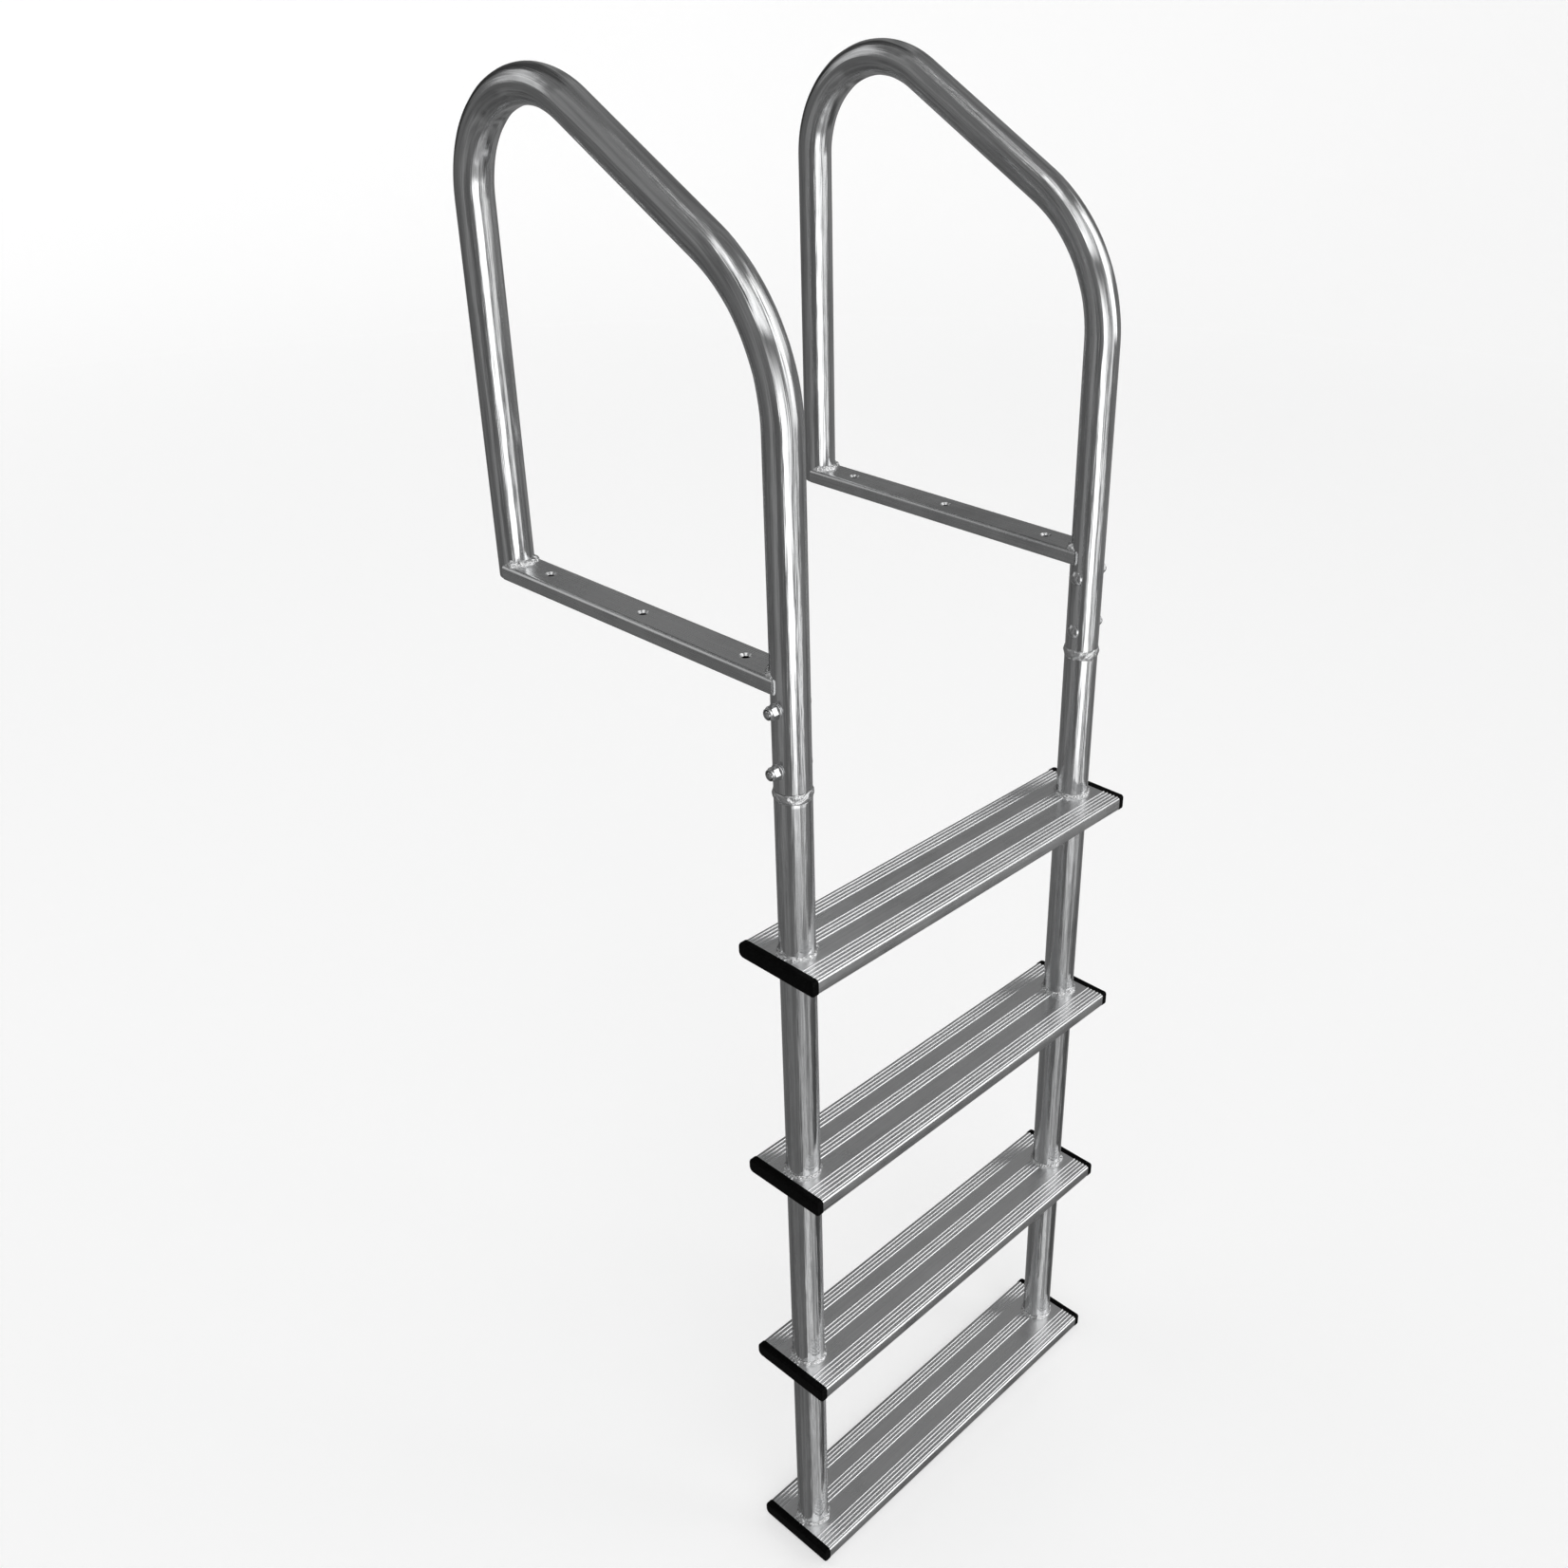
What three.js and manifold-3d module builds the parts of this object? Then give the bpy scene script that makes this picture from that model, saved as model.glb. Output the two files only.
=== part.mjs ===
// Fixed boarding ladder for a dock: two bent handrails on deck brackets, two bolted-on
// side rails below them and four hollow ribbed treads with plastic end caps.
// Millimetres, +Z up. X runs along the treads (left rail at -X), +Y points inland over
// the deck, and the origin is on the deck plane, midway between the two side rails.

import * as THREE from 'three';
import { mergeVertices } from 'three/addons/utils/BufferGeometryUtils.js';
import Module from 'manifold-3d';

const wasm = await Module();
wasm.setup();

// ---- driving dimensions ----------------------------------------------------------
const GAP = 0.3; // clearance kept between pieces that touch

const TUBE_RADIUS = 20;
const TUBE_WALL = 3;
const RAIL_SPACING = 483; // between the side rails' axes

const HANDRAIL_DEPTH = 442; // front leg axis to rear leg axis
const FRONT_CORNER_HEIGHT = 359; // where the front leg's axis meets the sloping run
const REAR_CORNER_HEIGHT = 599; // where the sloping run meets the rear leg's axis
const FRONT_BEND_RADIUS = 176;
const REAR_BEND_RADIUS = 116;
const HANDRAIL_FOOT = -107.5; // lower end of the front leg, below the deck plane

const SPLICE_BEAD_HEIGHT = 8.5;
const SLEEVE_WALL = 3;
const SLEEVE_TOP = 8;
const SLEEVE_BOTTOM = -200;
const BOLT_HEIGHTS = { upper: -15, lower: -82 };

const TREAD_NAMES = ['1', '2', '3', '4']; // from the deck down
const TREAD_PITCH = 305; // deck plane to the first tread, then tread to tread
const TREAD_LENGTH = 533.4; // the extrusion, without its caps
const TREAD_DEPTH = 113.5;
const TREAD_HEIGHT = 18.5;
const TREAD_WALL = 2.5;
const TREAD_BACK_RADIUS = 4.8;
const TREAD_FRONT_RADIUS = 2.6;
const WEB_OFFSET = 25; // the two inner webs' distance from the rail axis
const RIB_HEIGHT = 1.2;
const RIB_BASE = 2.4;
const RIB_CREST = 1.8;
const RIB_PITCH = 5.2;
const RIB_GROUPS = [ // first rib's distance from the back edge, and how many follow
  { start: 6, count: 4 },
  { start: 44.9, count: 4 },
  { start: 88.4, count: 5 },
];

const CAP_FLANGE = 8.5;
const CAP_CHAMFER = 2; // round the flange's outer face
const CAP_LIP = 0.75; // how far the flange stands proud of the tread all round
const CAP_BACK_RADIUS = 7.3;
const CAP_FRONT_RADIUS = 4;
const CAP_PLUG_CLEARANCE = 0.5;
const CAP_SIDE_PLUG = 14;
const CAP_MIDDLE_PLUG = 4; // short, because a side rail passes just behind it

const BRACKET_WIDTH = 45;
const BRACKET_HEIGHT = 18;
const BRACKET_WALL = 2.5;
const BRACKET_CORNER = 3;
const BRACKET_REACH = 3; // how near to each leg's axis the coped ends come
const SCREW_RADIUS = 4.25;
const SCREW_SPACING = 158; // one screw hole at mid-length and one each side of it

const BOLT_RADIUS = 4;
const BOLT_HOLE_RADIUS = 4.4;
const BOLT_HEAD_RADIUS = 8.25;
const BOLT_HEAD_HEIGHT = 4;
const BOLT_TIP_CHAMFER = 0.8;
const BOLT_TIP_STANDOUT = 1.6; // past the lock nut
const WASHER_RADIUS = 8.5;
const WASHER_THICKNESS = 1.6;
const NUT_ACROSS_FLATS = 13;
const NUT_HEX_HEIGHT = 7.8;
const NUT_COLLAR_HEIGHT = 2.2;
const NUT_COLLAR_RADIUS = 6.1;
const NUT_COLLAR_BORE = 5.4;

const WELD_LEG = 4.5; // fillet size along each face
const BRACKET_WELD_LEG = 5;

const SIDES = { left: -1, right: 1 }; // as seen by someone climbing, and the way out along X
const RAIL_X = RAIL_SPACING / 2;
const TUBE_BORE = TUBE_RADIUS - TUBE_WALL;
const TUBE_CLEARANCE = TUBE_RADIUS + GAP;
const RAIL_TOP = HANDRAIL_FOOT - SPLICE_BEAD_HEIGHT;
const RAIL_BOTTOM = -TREAD_NAMES.length * TREAD_PITCH - TREAD_HEIGHT;
const ROUND_SIDES = 20;
const SMALL_SIDES = 12;
const CORNER_SEGMENTS = 2;

// ---- materials -------------------------------------------------------------------
const FINISHES = {
  polished_tube: { color: 0xb4b7b9, roughness: 0.18, metalness: 1 },
  bracket_extrusion: { color: 0x8f9294, roughness: 0.34, metalness: 1 },
  tread_extrusion: { color: 0x9a9d9f, roughness: 0.38, metalness: 1 },
  weld_metal: { color: 0xc4c6c8, roughness: 0.32, metalness: 1 },
  stainless_fixings: { color: 0xbfc1c2, roughness: 0.22, metalness: 1 },
  black_plastic: { color: 0x0c0c0d, roughness: 0.5, metalness: 0 },
  nylon_insert: { color: 0x2b2d30, roughness: 0.55, metalness: 0 },
};

function piece(name, geometry, finish) {
  const mesh = new THREE.Mesh(geometry, new THREE.MeshStandardMaterial(FINISHES[finish]));
  mesh.name = name;
  return mesh;
}

// ---- solids ----------------------------------------------------------------------
function toSolid(geometry) {
  const bare = geometry.clone();
  bare.deleteAttribute('normal');
  bare.deleteAttribute('uv');
  const merged = mergeVertices(bare, 1e-4);
  return new wasm.Manifold(new wasm.Mesh({
    numProp: 3,
    vertProperties: Float32Array.from(merged.attributes.position.array),
    triVerts: Uint32Array.from(merged.index.array),
  }));
}

function toGeometry(solid) {
  const mesh = solid.getMesh();
  const geometry = new THREE.BufferGeometry();
  geometry.setAttribute('position', new THREE.BufferAttribute(mesh.vertProperties, 3));
  geometry.setIndex(new THREE.BufferAttribute(mesh.triVerts, 1));
  geometry.computeVertexNormals();
  return geometry;
}

/** A cutter or plug block between two corners. */
function blockSolid(low, high) {
  const size = high.clone().sub(low);
  const centre = high.clone().add(low).multiplyScalar(0.5);
  return toSolid(new THREE.BoxGeometry(size.x, size.y, size.z).translate(...centre.toArray()));
}

/** A round cutter along Z. */
function uprightCutter(radius, x, y, zLow, zHigh, sides) {
  const cutter = new THREE.CylinderGeometry(radius, radius, zHigh - zLow, sides);
  return toSolid(cutter.rotateX(Math.PI / 2).translate(x, y, (zLow + zHigh) / 2));
}

/** Turns a closed (radius, height) outline, listed anticlockwise, about the Z axis. */
function turned(outline, sides) {
  const points = outline.map(([radius, height]) => new THREE.Vector2(radius, height));
  return new THREE.LatheGeometry(points, sides).rotateX(Math.PI / 2);
}

/** A plain ring about Z, from zLow to zHigh. */
function ring(inner, outer, zLow, zHigh, sides) {
  const outline = [[inner, zLow], [outer, zLow], [outer, zHigh], [inner, zHigh], [inner, zLow]];
  return turned(outline, sides);
}

/** A three-sided weld fillet standing on Z = 0 round a tube. */
function weldRing(leg) {
  const inner = TUBE_CLEARANCE;
  return turned([[inner, 0], [inner + leg, 0], [inner, leg], [inner, 0]], ROUND_SIDES);
}

/** Cuts both bolts' cross holes, which run along X, through an upright tube. */
function withBoltHoles(geometry) {
  return toGeometry(Object.values(BOLT_HEIGHTS).reduce((solid, height) => {
    const length = 2 * TUBE_RADIUS + 10;
    const drill = new THREE.CylinderGeometry(BOLT_HOLE_RADIUS, BOLT_HOLE_RADIUS, length, SMALL_SIDES);
    return solid.subtract(toSolid(drill.rotateZ(Math.PI / 2).translate(0, 0, height)));
  }, toSolid(geometry)));
}

// ---- handrail --------------------------------------------------------------------
/** A run with a chosen set of stations, so straight stretches take one step each. */
class StationCurve extends THREE.Curve {
  constructor(stations) {
    super();
    this.stations = stations;
  }

  station(t) {
    return this.stations[Math.round(t * (this.stations.length - 1))];
  }

  getPointAt(t) {
    return this.station(t).point.clone();
  }

  getTangentAt(t) {
    return this.station(t).tangent.clone();
  }
}

/** Stations along the round bend that blends two straight runs meeting at a corner. */
function bendStations(before, corner, after, radius, steps) {
  const inward = corner.clone().sub(before).normalize();
  const outward = after.clone().sub(corner).normalize();
  const turn = inward.angleTo(outward);
  const start = corner.clone().addScaledVector(inward, -radius * Math.tan(turn / 2));
  const side = outward.clone().addScaledVector(inward, -inward.dot(outward)).normalize();
  return Array.from({ length: steps + 1 }, (_, i) => {
    const angle = (turn * i) / steps;
    const point = start.clone()
      .addScaledVector(inward, radius * Math.sin(angle))
      .addScaledVector(side, radius * (1 - Math.cos(angle)));
    const tangent = inward.clone().multiplyScalar(Math.cos(angle))
      .addScaledVector(side, Math.sin(angle));
    return { point, tangent };
  });
}

function handrailGeometry() {
  const foot = new THREE.Vector3(0, 0, HANDRAIL_FOOT);
  const frontCorner = new THREE.Vector3(0, 0, FRONT_CORNER_HEIGHT);
  const rearCorner = new THREE.Vector3(0, HANDRAIL_DEPTH, REAR_CORNER_HEIGHT);
  const heel = new THREE.Vector3(0, HANDRAIL_DEPTH, 0);
  const frontSteps = 6;
  const rearSteps = 10;
  const stations = [
    { point: foot, tangent: new THREE.Vector3(0, 0, 1) },
    ...bendStations(foot, frontCorner, rearCorner, FRONT_BEND_RADIUS, frontSteps),
    ...bendStations(frontCorner, rearCorner, heel, REAR_BEND_RADIUS, rearSteps),
    { point: heel, tangent: new THREE.Vector3(0, 0, -1) },
  ];
  const section = new THREE.Shape().absarc(0, 0, TUBE_RADIUS, 0, 2 * Math.PI);
  section.holes.push(new THREE.Path().absarc(0, 0, TUBE_BORE, 0, 2 * Math.PI));
  return withBoltHoles(new THREE.ExtrudeGeometry(section, {
    extrudePath: new StationCurve(stations),
    steps: stations.length - 1,
    curveSegments: ROUND_SIDES / 2,
  }));
}

// ---- deck bracket ----------------------------------------------------------------
function roundedRectangle(target, width, height, radius) {
  const x = width / 2 - radius;
  const y = height / 2 - radius;
  target.absarc(x, -y, radius, -Math.PI / 2, 0);
  target.absarc(x, y, radius, 0, Math.PI / 2);
  target.absarc(-x, y, radius, Math.PI / 2, Math.PI);
  target.absarc(-x, -y, radius, Math.PI, 1.5 * Math.PI);
  return target;
}

/** A rectangular tube along Y between the legs, coped round both and drilled for screws. */
function bracketGeometry() {
  const section = roundedRectangle(new THREE.Shape(), BRACKET_WIDTH, BRACKET_HEIGHT, BRACKET_CORNER);
  section.holes.push(roundedRectangle(
    new THREE.Path(),
    BRACKET_WIDTH - 2 * BRACKET_WALL,
    BRACKET_HEIGHT - 2 * BRACKET_WALL,
    BRACKET_CORNER / 2,
  ));
  const length = HANDRAIL_DEPTH - 2 * BRACKET_REACH;
  const bar = new THREE.ExtrudeGeometry(section, { depth: length, bevelEnabled: false, curveSegments: 1 })
    .rotateX(Math.PI / 2)
    .translate(0, HANDRAIL_DEPTH - BRACKET_REACH, BRACKET_HEIGHT / 2);
  const reach = BRACKET_HEIGHT * 2;
  let solid = toSolid(bar);
  for (const legY of [0, HANDRAIL_DEPTH]) {
    solid = solid.subtract(uprightCutter(TUBE_CLEARANCE, 0, legY, -reach, reach, ROUND_SIDES));
  }
  for (const offset of [-SCREW_SPACING, 0, SCREW_SPACING]) {
    const y = HANDRAIL_DEPTH / 2 + offset;
    solid = solid.subtract(uprightCutter(SCREW_RADIUS, 0, y, -reach, reach, SMALL_SIDES));
  }
  return toGeometry(solid);
}

/** The part of a weld ring that lies on the bracket's top, on its +Y side. */
function bracketWeldGeometry() {
  const halfWidth = BRACKET_WIDTH / 2 - GAP;
  const keep = blockSolid(
    new THREE.Vector3(-halfWidth, BRACKET_REACH, -1),
    new THREE.Vector3(halfWidth, 2 * TUBE_RADIUS, BRACKET_WELD_LEG + 1),
  );
  return toGeometry(toSolid(weldRing(BRACKET_WELD_LEG)).intersect(keep));
}

// ---- side rail, sleeve and their joint ---------------------------------------------
/** A side rail: a straight tube whose top edge is rolled in where the sleeve leaves it. */
function sideRailGeometry() {
  const shoulder = 2;
  const top = RAIL_TOP - GAP;
  return turned([
    [TUBE_BORE, RAIL_BOTTOM],
    [TUBE_RADIUS, RAIL_BOTTOM],
    [TUBE_RADIUS, top - 2 * shoulder],
    [TUBE_RADIUS - shoulder / 4, top - shoulder],
    [TUBE_RADIUS - shoulder, top],
    [TUBE_BORE, top],
    [TUBE_BORE, RAIL_BOTTOM],
  ], ROUND_SIDES);
}

function sleeveGeometry() {
  const outer = TUBE_BORE - GAP;
  return withBoltHoles(ring(outer - SLEEVE_WALL, outer, SLEEVE_BOTTOM, SLEEVE_TOP, ROUND_SIDES));
}

/** The bead that runs round the sleeve between the side rail and the handrail. */
function spliceBeadGeometry() {
  const low = RAIL_TOP;
  const high = HANDRAIL_FOOT - GAP;
  const inner = TUBE_BORE;
  const crown = TUBE_RADIUS - GAP;
  return turned([
    [inner, low],
    [crown - 1.6, low],
    [crown, (low + high) / 2],
    [crown - 1, high],
    [inner, high],
    [inner, low],
  ], ROUND_SIDES);
}

// ---- treads ----------------------------------------------------------------------
/** Traces a rounded box in (Y, Z). */
function traceBox(target, { back, front, top, bottom, backRadius, frontRadius }) {
  target.absarc(back - backRadius, bottom + backRadius, backRadius, -Math.PI / 2, 0);
  target.absarc(back - backRadius, top - backRadius, backRadius, 0, Math.PI / 2);
  target.absarc(front + frontRadius, top - frontRadius, frontRadius, Math.PI / 2, Math.PI);
  target.absarc(front + frontRadius, bottom + frontRadius, frontRadius, Math.PI, 1.5 * Math.PI);
  return target;
}

/** Extrudes a (Y, Z) outline along X, between two stations, with a chamfer past each if asked. */
function alongX(shape, xLow, xHigh, chamfer = 0) {
  const turn = new THREE.Matrix4().makeBasis(
    new THREE.Vector3(0, 1, 0),
    new THREE.Vector3(0, 0, 1),
    new THREE.Vector3(1, 0, 0),
  );
  return new THREE.ExtrudeGeometry(shape, {
    depth: xHigh - xLow,
    curveSegments: CORNER_SEGMENTS,
    bevelEnabled: chamfer > 0,
    bevelThickness: chamfer,
    bevelSize: chamfer,
    bevelOffset: -chamfer,
    bevelSegments: 1,
  }).applyMatrix4(turn).translate(xLow, 0, 0);
}

/** The extrusion's three cells: a wide one that the rails cross, and one each side. */
const CELL_TOP = -RIB_HEIGHT - TREAD_WALL;
const CELL_BOTTOM = TREAD_WALL - TREAD_HEIGHT;
const CELL_EDGE = TREAD_DEPTH / 2 - TREAD_WALL;
const WEB_HALF = TREAD_WALL / 2;
const SIDE_CELLS = [
  { low: WEB_OFFSET + WEB_HALF, high: CELL_EDGE },
  { low: -CELL_EDGE, high: -WEB_OFFSET - WEB_HALF },
];
const MIDDLE_CELL = { low: WEB_HALF - WEB_OFFSET, high: WEB_OFFSET - WEB_HALF };

/** One anti-slip rib, its root sunk into the tread's top wall. */
function ribSolid(y) {
  const root = -RIB_HEIGHT - TREAD_WALL / 2;
  const outline = new THREE.Shape([
    new THREE.Vector2(y - RIB_BASE / 2, root),
    new THREE.Vector2(y + RIB_BASE / 2, root),
    new THREE.Vector2(y + RIB_BASE / 2, -RIB_HEIGHT),
    new THREE.Vector2(y + RIB_CREST / 2, 0),
    new THREE.Vector2(y - RIB_CREST / 2, 0),
    new THREE.Vector2(y - RIB_BASE / 2, -RIB_HEIGHT),
  ]);
  return toSolid(alongX(outline, -TREAD_LENGTH / 2, TREAD_LENGTH / 2));
}

function treadGeometry() {
  const section = traceBox(new THREE.Shape(), {
    back: TREAD_DEPTH / 2,
    front: -TREAD_DEPTH / 2,
    top: -RIB_HEIGHT,
    bottom: -TREAD_HEIGHT,
    backRadius: TREAD_BACK_RADIUS,
    frontRadius: TREAD_FRONT_RADIUS,
  });
  let solid = toSolid(alongX(section, -TREAD_LENGTH / 2, TREAD_LENGTH / 2));
  for (const { low, high } of [...SIDE_CELLS, MIDDLE_CELL]) {
    solid = solid.subtract(blockSolid(
      new THREE.Vector3(-TREAD_LENGTH, low, CELL_BOTTOM),
      new THREE.Vector3(TREAD_LENGTH, high, CELL_TOP),
    ));
  }
  for (const { start, count } of RIB_GROUPS) {
    for (let i = 0; i < count; i += 1) {
      solid = solid.add(ribSolid(TREAD_DEPTH / 2 - start - i * RIB_PITCH));
    }
  }
  for (const x of [-RAIL_X, RAIL_X]) {
    solid = solid.subtract(
      uprightCutter(TUBE_CLEARANCE, x, 0, -2 * TREAD_HEIGHT, TREAD_HEIGHT, ROUND_SIDES),
    );
  }
  return toGeometry(solid);
}

/** An end cap's flange, chamfered round its outer face, from X = 0 out to its thickness. */
function flangeSolid() {
  const outline = traceBox(new THREE.Shape(), {
    back: TREAD_DEPTH / 2 + CAP_LIP,
    front: -TREAD_DEPTH / 2 - CAP_LIP,
    top: CAP_LIP,
    bottom: -TREAD_HEIGHT - CAP_LIP,
    backRadius: CAP_BACK_RADIUS,
    frontRadius: CAP_FRONT_RADIUS,
  });
  const plate = toSolid(alongX(outline, -CAP_FLANGE, CAP_FLANGE - CAP_CHAMFER, CAP_CHAMFER));
  const far = 2 * TREAD_DEPTH;
  return plate.subtract(blockSolid(
    new THREE.Vector3(-far, -far, -far),
    new THREE.Vector3(0, far, far),
  ));
}

/** A push-in end cap: a flange with a plug in each of the tread's cells. */
function capGeometry(outward) {
  const flangeStart = TREAD_LENGTH / 2 + GAP;
  const flange = flangeSolid().scale([outward, 1, 1]).translate([outward * flangeStart, 0, 0]);
  const span = (from, to) => [outward * from, outward * to].sort((a, b) => a - b);
  const plugs = [
    ...SIDE_CELLS.map((cell) => ({ ...cell, length: CAP_SIDE_PLUG })),
    { ...MIDDLE_CELL, length: CAP_MIDDLE_PLUG },
  ];
  return toGeometry(plugs.reduce((solid, { low, high, length }) => {
    const [xLow, xHigh] = span(flangeStart - length, flangeStart + CAP_FLANGE / 2);
    return solid.add(blockSolid(
      new THREE.Vector3(xLow, low + CAP_PLUG_CLEARANCE, CELL_BOTTOM + CAP_PLUG_CLEARANCE),
      new THREE.Vector3(xHigh, high - CAP_PLUG_CLEARANCE, CELL_TOP - CAP_PLUG_CLEARANCE),
    ));
  }, flange));
}

// ---- fixings, built along +X from the tube's axis out to the nut --------------------
const SEAT = TUBE_CLEARANCE; // where a washer or a bolt head meets the tube
const NUT_START = SEAT + WASHER_THICKNESS + GAP;
const COLLAR_START = NUT_START + NUT_HEX_HEIGHT;
const NUT_END = COLLAR_START + NUT_COLLAR_HEIGHT;

/** Turns a closed (radius, distance) outline about the X axis. */
function turnedAboutX(outline, sides) {
  return turned(outline, sides).rotateY(Math.PI / 2);
}

function boltGeometry() {
  const domeSteps = 4;
  const domeAngle = 2 * Math.atan(BOLT_HEAD_HEIGHT / BOLT_HEAD_RADIUS);
  const domeRadius = BOLT_HEAD_RADIUS / Math.sin(domeAngle);
  const dome = Array.from({ length: domeSteps + 1 }, (_, i) => {
    const angle = (domeAngle * i) / domeSteps;
    const rise = domeRadius * (Math.cos(angle) - Math.cos(domeAngle));
    return [domeRadius * Math.sin(angle), -SEAT - rise];
  });
  const tip = NUT_END + BOLT_TIP_STANDOUT;
  return turnedAboutX([
    ...dome,
    [BOLT_RADIUS, -SEAT],
    [BOLT_RADIUS, tip - BOLT_TIP_CHAMFER],
    [BOLT_RADIUS - BOLT_TIP_CHAMFER, tip],
    [0, tip],
  ], SMALL_SIDES);
}

function washerGeometry() {
  const inner = BOLT_HOLE_RADIUS;
  const end = SEAT + WASHER_THICKNESS;
  return turnedAboutX(
    [[inner, SEAT], [WASHER_RADIUS, SEAT], [WASHER_RADIUS, end], [inner, end], [inner, SEAT]],
    ROUND_SIDES,
  );
}

/** A lock nut: a hexagon with a round collar that holds the nylon insert. */
function nutGeometry() {
  const corner = NUT_ACROSS_FLATS / Math.sqrt(3);
  const hexagon = new THREE.Shape(Array.from({ length: 6 }, (_, i) => (
    new THREE.Vector2(corner * Math.cos((i * Math.PI) / 3), corner * Math.sin((i * Math.PI) / 3))
  )));
  const bore = BOLT_RADIUS + GAP;
  const seam = 1; // the collar's outline starts this far inside the hexagon
  const collar = turnedAboutX([
    [bore, COLLAR_START - seam],
    [NUT_COLLAR_RADIUS, COLLAR_START - seam],
    [NUT_COLLAR_RADIUS, NUT_END - 0.6],
    [NUT_COLLAR_BORE + 0.1, NUT_END],
    [NUT_COLLAR_BORE, NUT_END],
    [NUT_COLLAR_BORE, COLLAR_START],
    [bore, COLLAR_START],
    [bore, COLLAR_START - seam],
  ], SMALL_SIDES);
  const drill = turnedAboutX([[0, 0], [bore, 0], [bore, NUT_END + 1], [0, NUT_END + 1]], SMALL_SIDES);
  return toGeometry(
    toSolid(alongX(hexagon, NUT_START, COLLAR_START)).add(toSolid(collar)).subtract(toSolid(drill)),
  );
}

function insertGeometry() {
  const inner = BOLT_RADIUS + GAP;
  const outer = NUT_COLLAR_BORE - GAP;
  const start = COLLAR_START + GAP;
  return turnedAboutX(
    [[inner, start], [outer, start], [outer, NUT_END], [inner, NUT_END], [inner, start]],
    SMALL_SIDES,
  );
}

// ---- assembly --------------------------------------------------------------------
/** One handrail with its bracket, welds, sleeve, side rail and fixings, on the rail's axis. */
function sideAssembly(side, outward) {
  const group = new THREE.Group();
  group.position.x = outward * RAIL_X;
  group.add(
    piece(`handrail_${side}`, handrailGeometry(), 'polished_tube'),
    piece(`deck_bracket_${side}`, bracketGeometry(), 'bracket_extrusion'),
    piece(`splice_sleeve_${side}`, sleeveGeometry(), 'polished_tube'),
    piece(`splice_bead_${side}`, spliceBeadGeometry(), 'weld_metal'),
    piece(`side_rail_${side}`, sideRailGeometry(), 'polished_tube'),
  );
  const frontWeld = piece(`bracket_weld_${side}_front`, bracketWeldGeometry(), 'weld_metal');
  frontWeld.position.z = BRACKET_HEIGHT + GAP;
  const rearWeld = piece(`bracket_weld_${side}_rear`, bracketWeldGeometry(), 'weld_metal');
  rearWeld.position.set(0, HANDRAIL_DEPTH, BRACKET_HEIGHT + GAP);
  rearWeld.rotation.z = Math.PI;
  group.add(frontWeld, rearWeld);
  for (const [level, height] of Object.entries(BOLT_HEIGHTS)) {
    const fixing = new THREE.Group();
    fixing.position.z = height;
    fixing.rotation.z = outward > 0 ? 0 : Math.PI;
    fixing.add(
      piece(`bolt_${side}_${level}`, boltGeometry(), 'stainless_fixings'),
      piece(`washer_${side}_${level}`, washerGeometry(), 'stainless_fixings'),
      piece(`lock_nut_${side}_${level}`, nutGeometry(), 'stainless_fixings'),
      piece(`nut_insert_${side}_${level}`, insertGeometry(), 'nylon_insert'),
    );
    group.add(fixing);
  }
  return group;
}

/** One tread with both end caps and the welds that hold it to the side rails. */
function treadAssembly(name, top) {
  const group = new THREE.Group();
  group.position.z = top;
  group.add(piece(`tread_${name}`, treadGeometry(), 'tread_extrusion'));
  for (const [side, outward] of Object.entries(SIDES)) {
    const cap = piece(`end_cap_${name}_${side}`, capGeometry(outward), 'black_plastic');
    const upper = piece(`tread_weld_${name}_${side}_top`, weldRing(WELD_LEG), 'weld_metal');
    upper.position.set(outward * RAIL_X, 0, GAP);
    const lower = piece(`tread_weld_${name}_${side}_under`, weldRing(WELD_LEG), 'weld_metal');
    lower.position.set(outward * RAIL_X, 0, -TREAD_HEIGHT - GAP);
    lower.rotation.x = Math.PI;
    group.add(cap, upper, lower);
  }
  return group;
}

const ladder = new THREE.Group();
for (const [side, outward] of Object.entries(SIDES)) {
  ladder.add(sideAssembly(side, outward));
}
TREAD_NAMES.forEach((name, i) => ladder.add(treadAssembly(name, -(i + 1) * TREAD_PITCH)));

export default ladder;
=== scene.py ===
"""Looks for a fixed dock boarding ladder: polished tube handrails and side rails, ribbed
treads with black end caps, deck brackets, welds and bolts. Every part is a fine mesh that
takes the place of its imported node. Lengths are in metres, and sizes are written in
millimetres times MM."""

import math
import random

import bmesh
import bpy
from mathutils import Matrix, Vector, noise
from mathutils.geometry import tessellate_polygon
from mathutils.kdtree import KDTree


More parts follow.
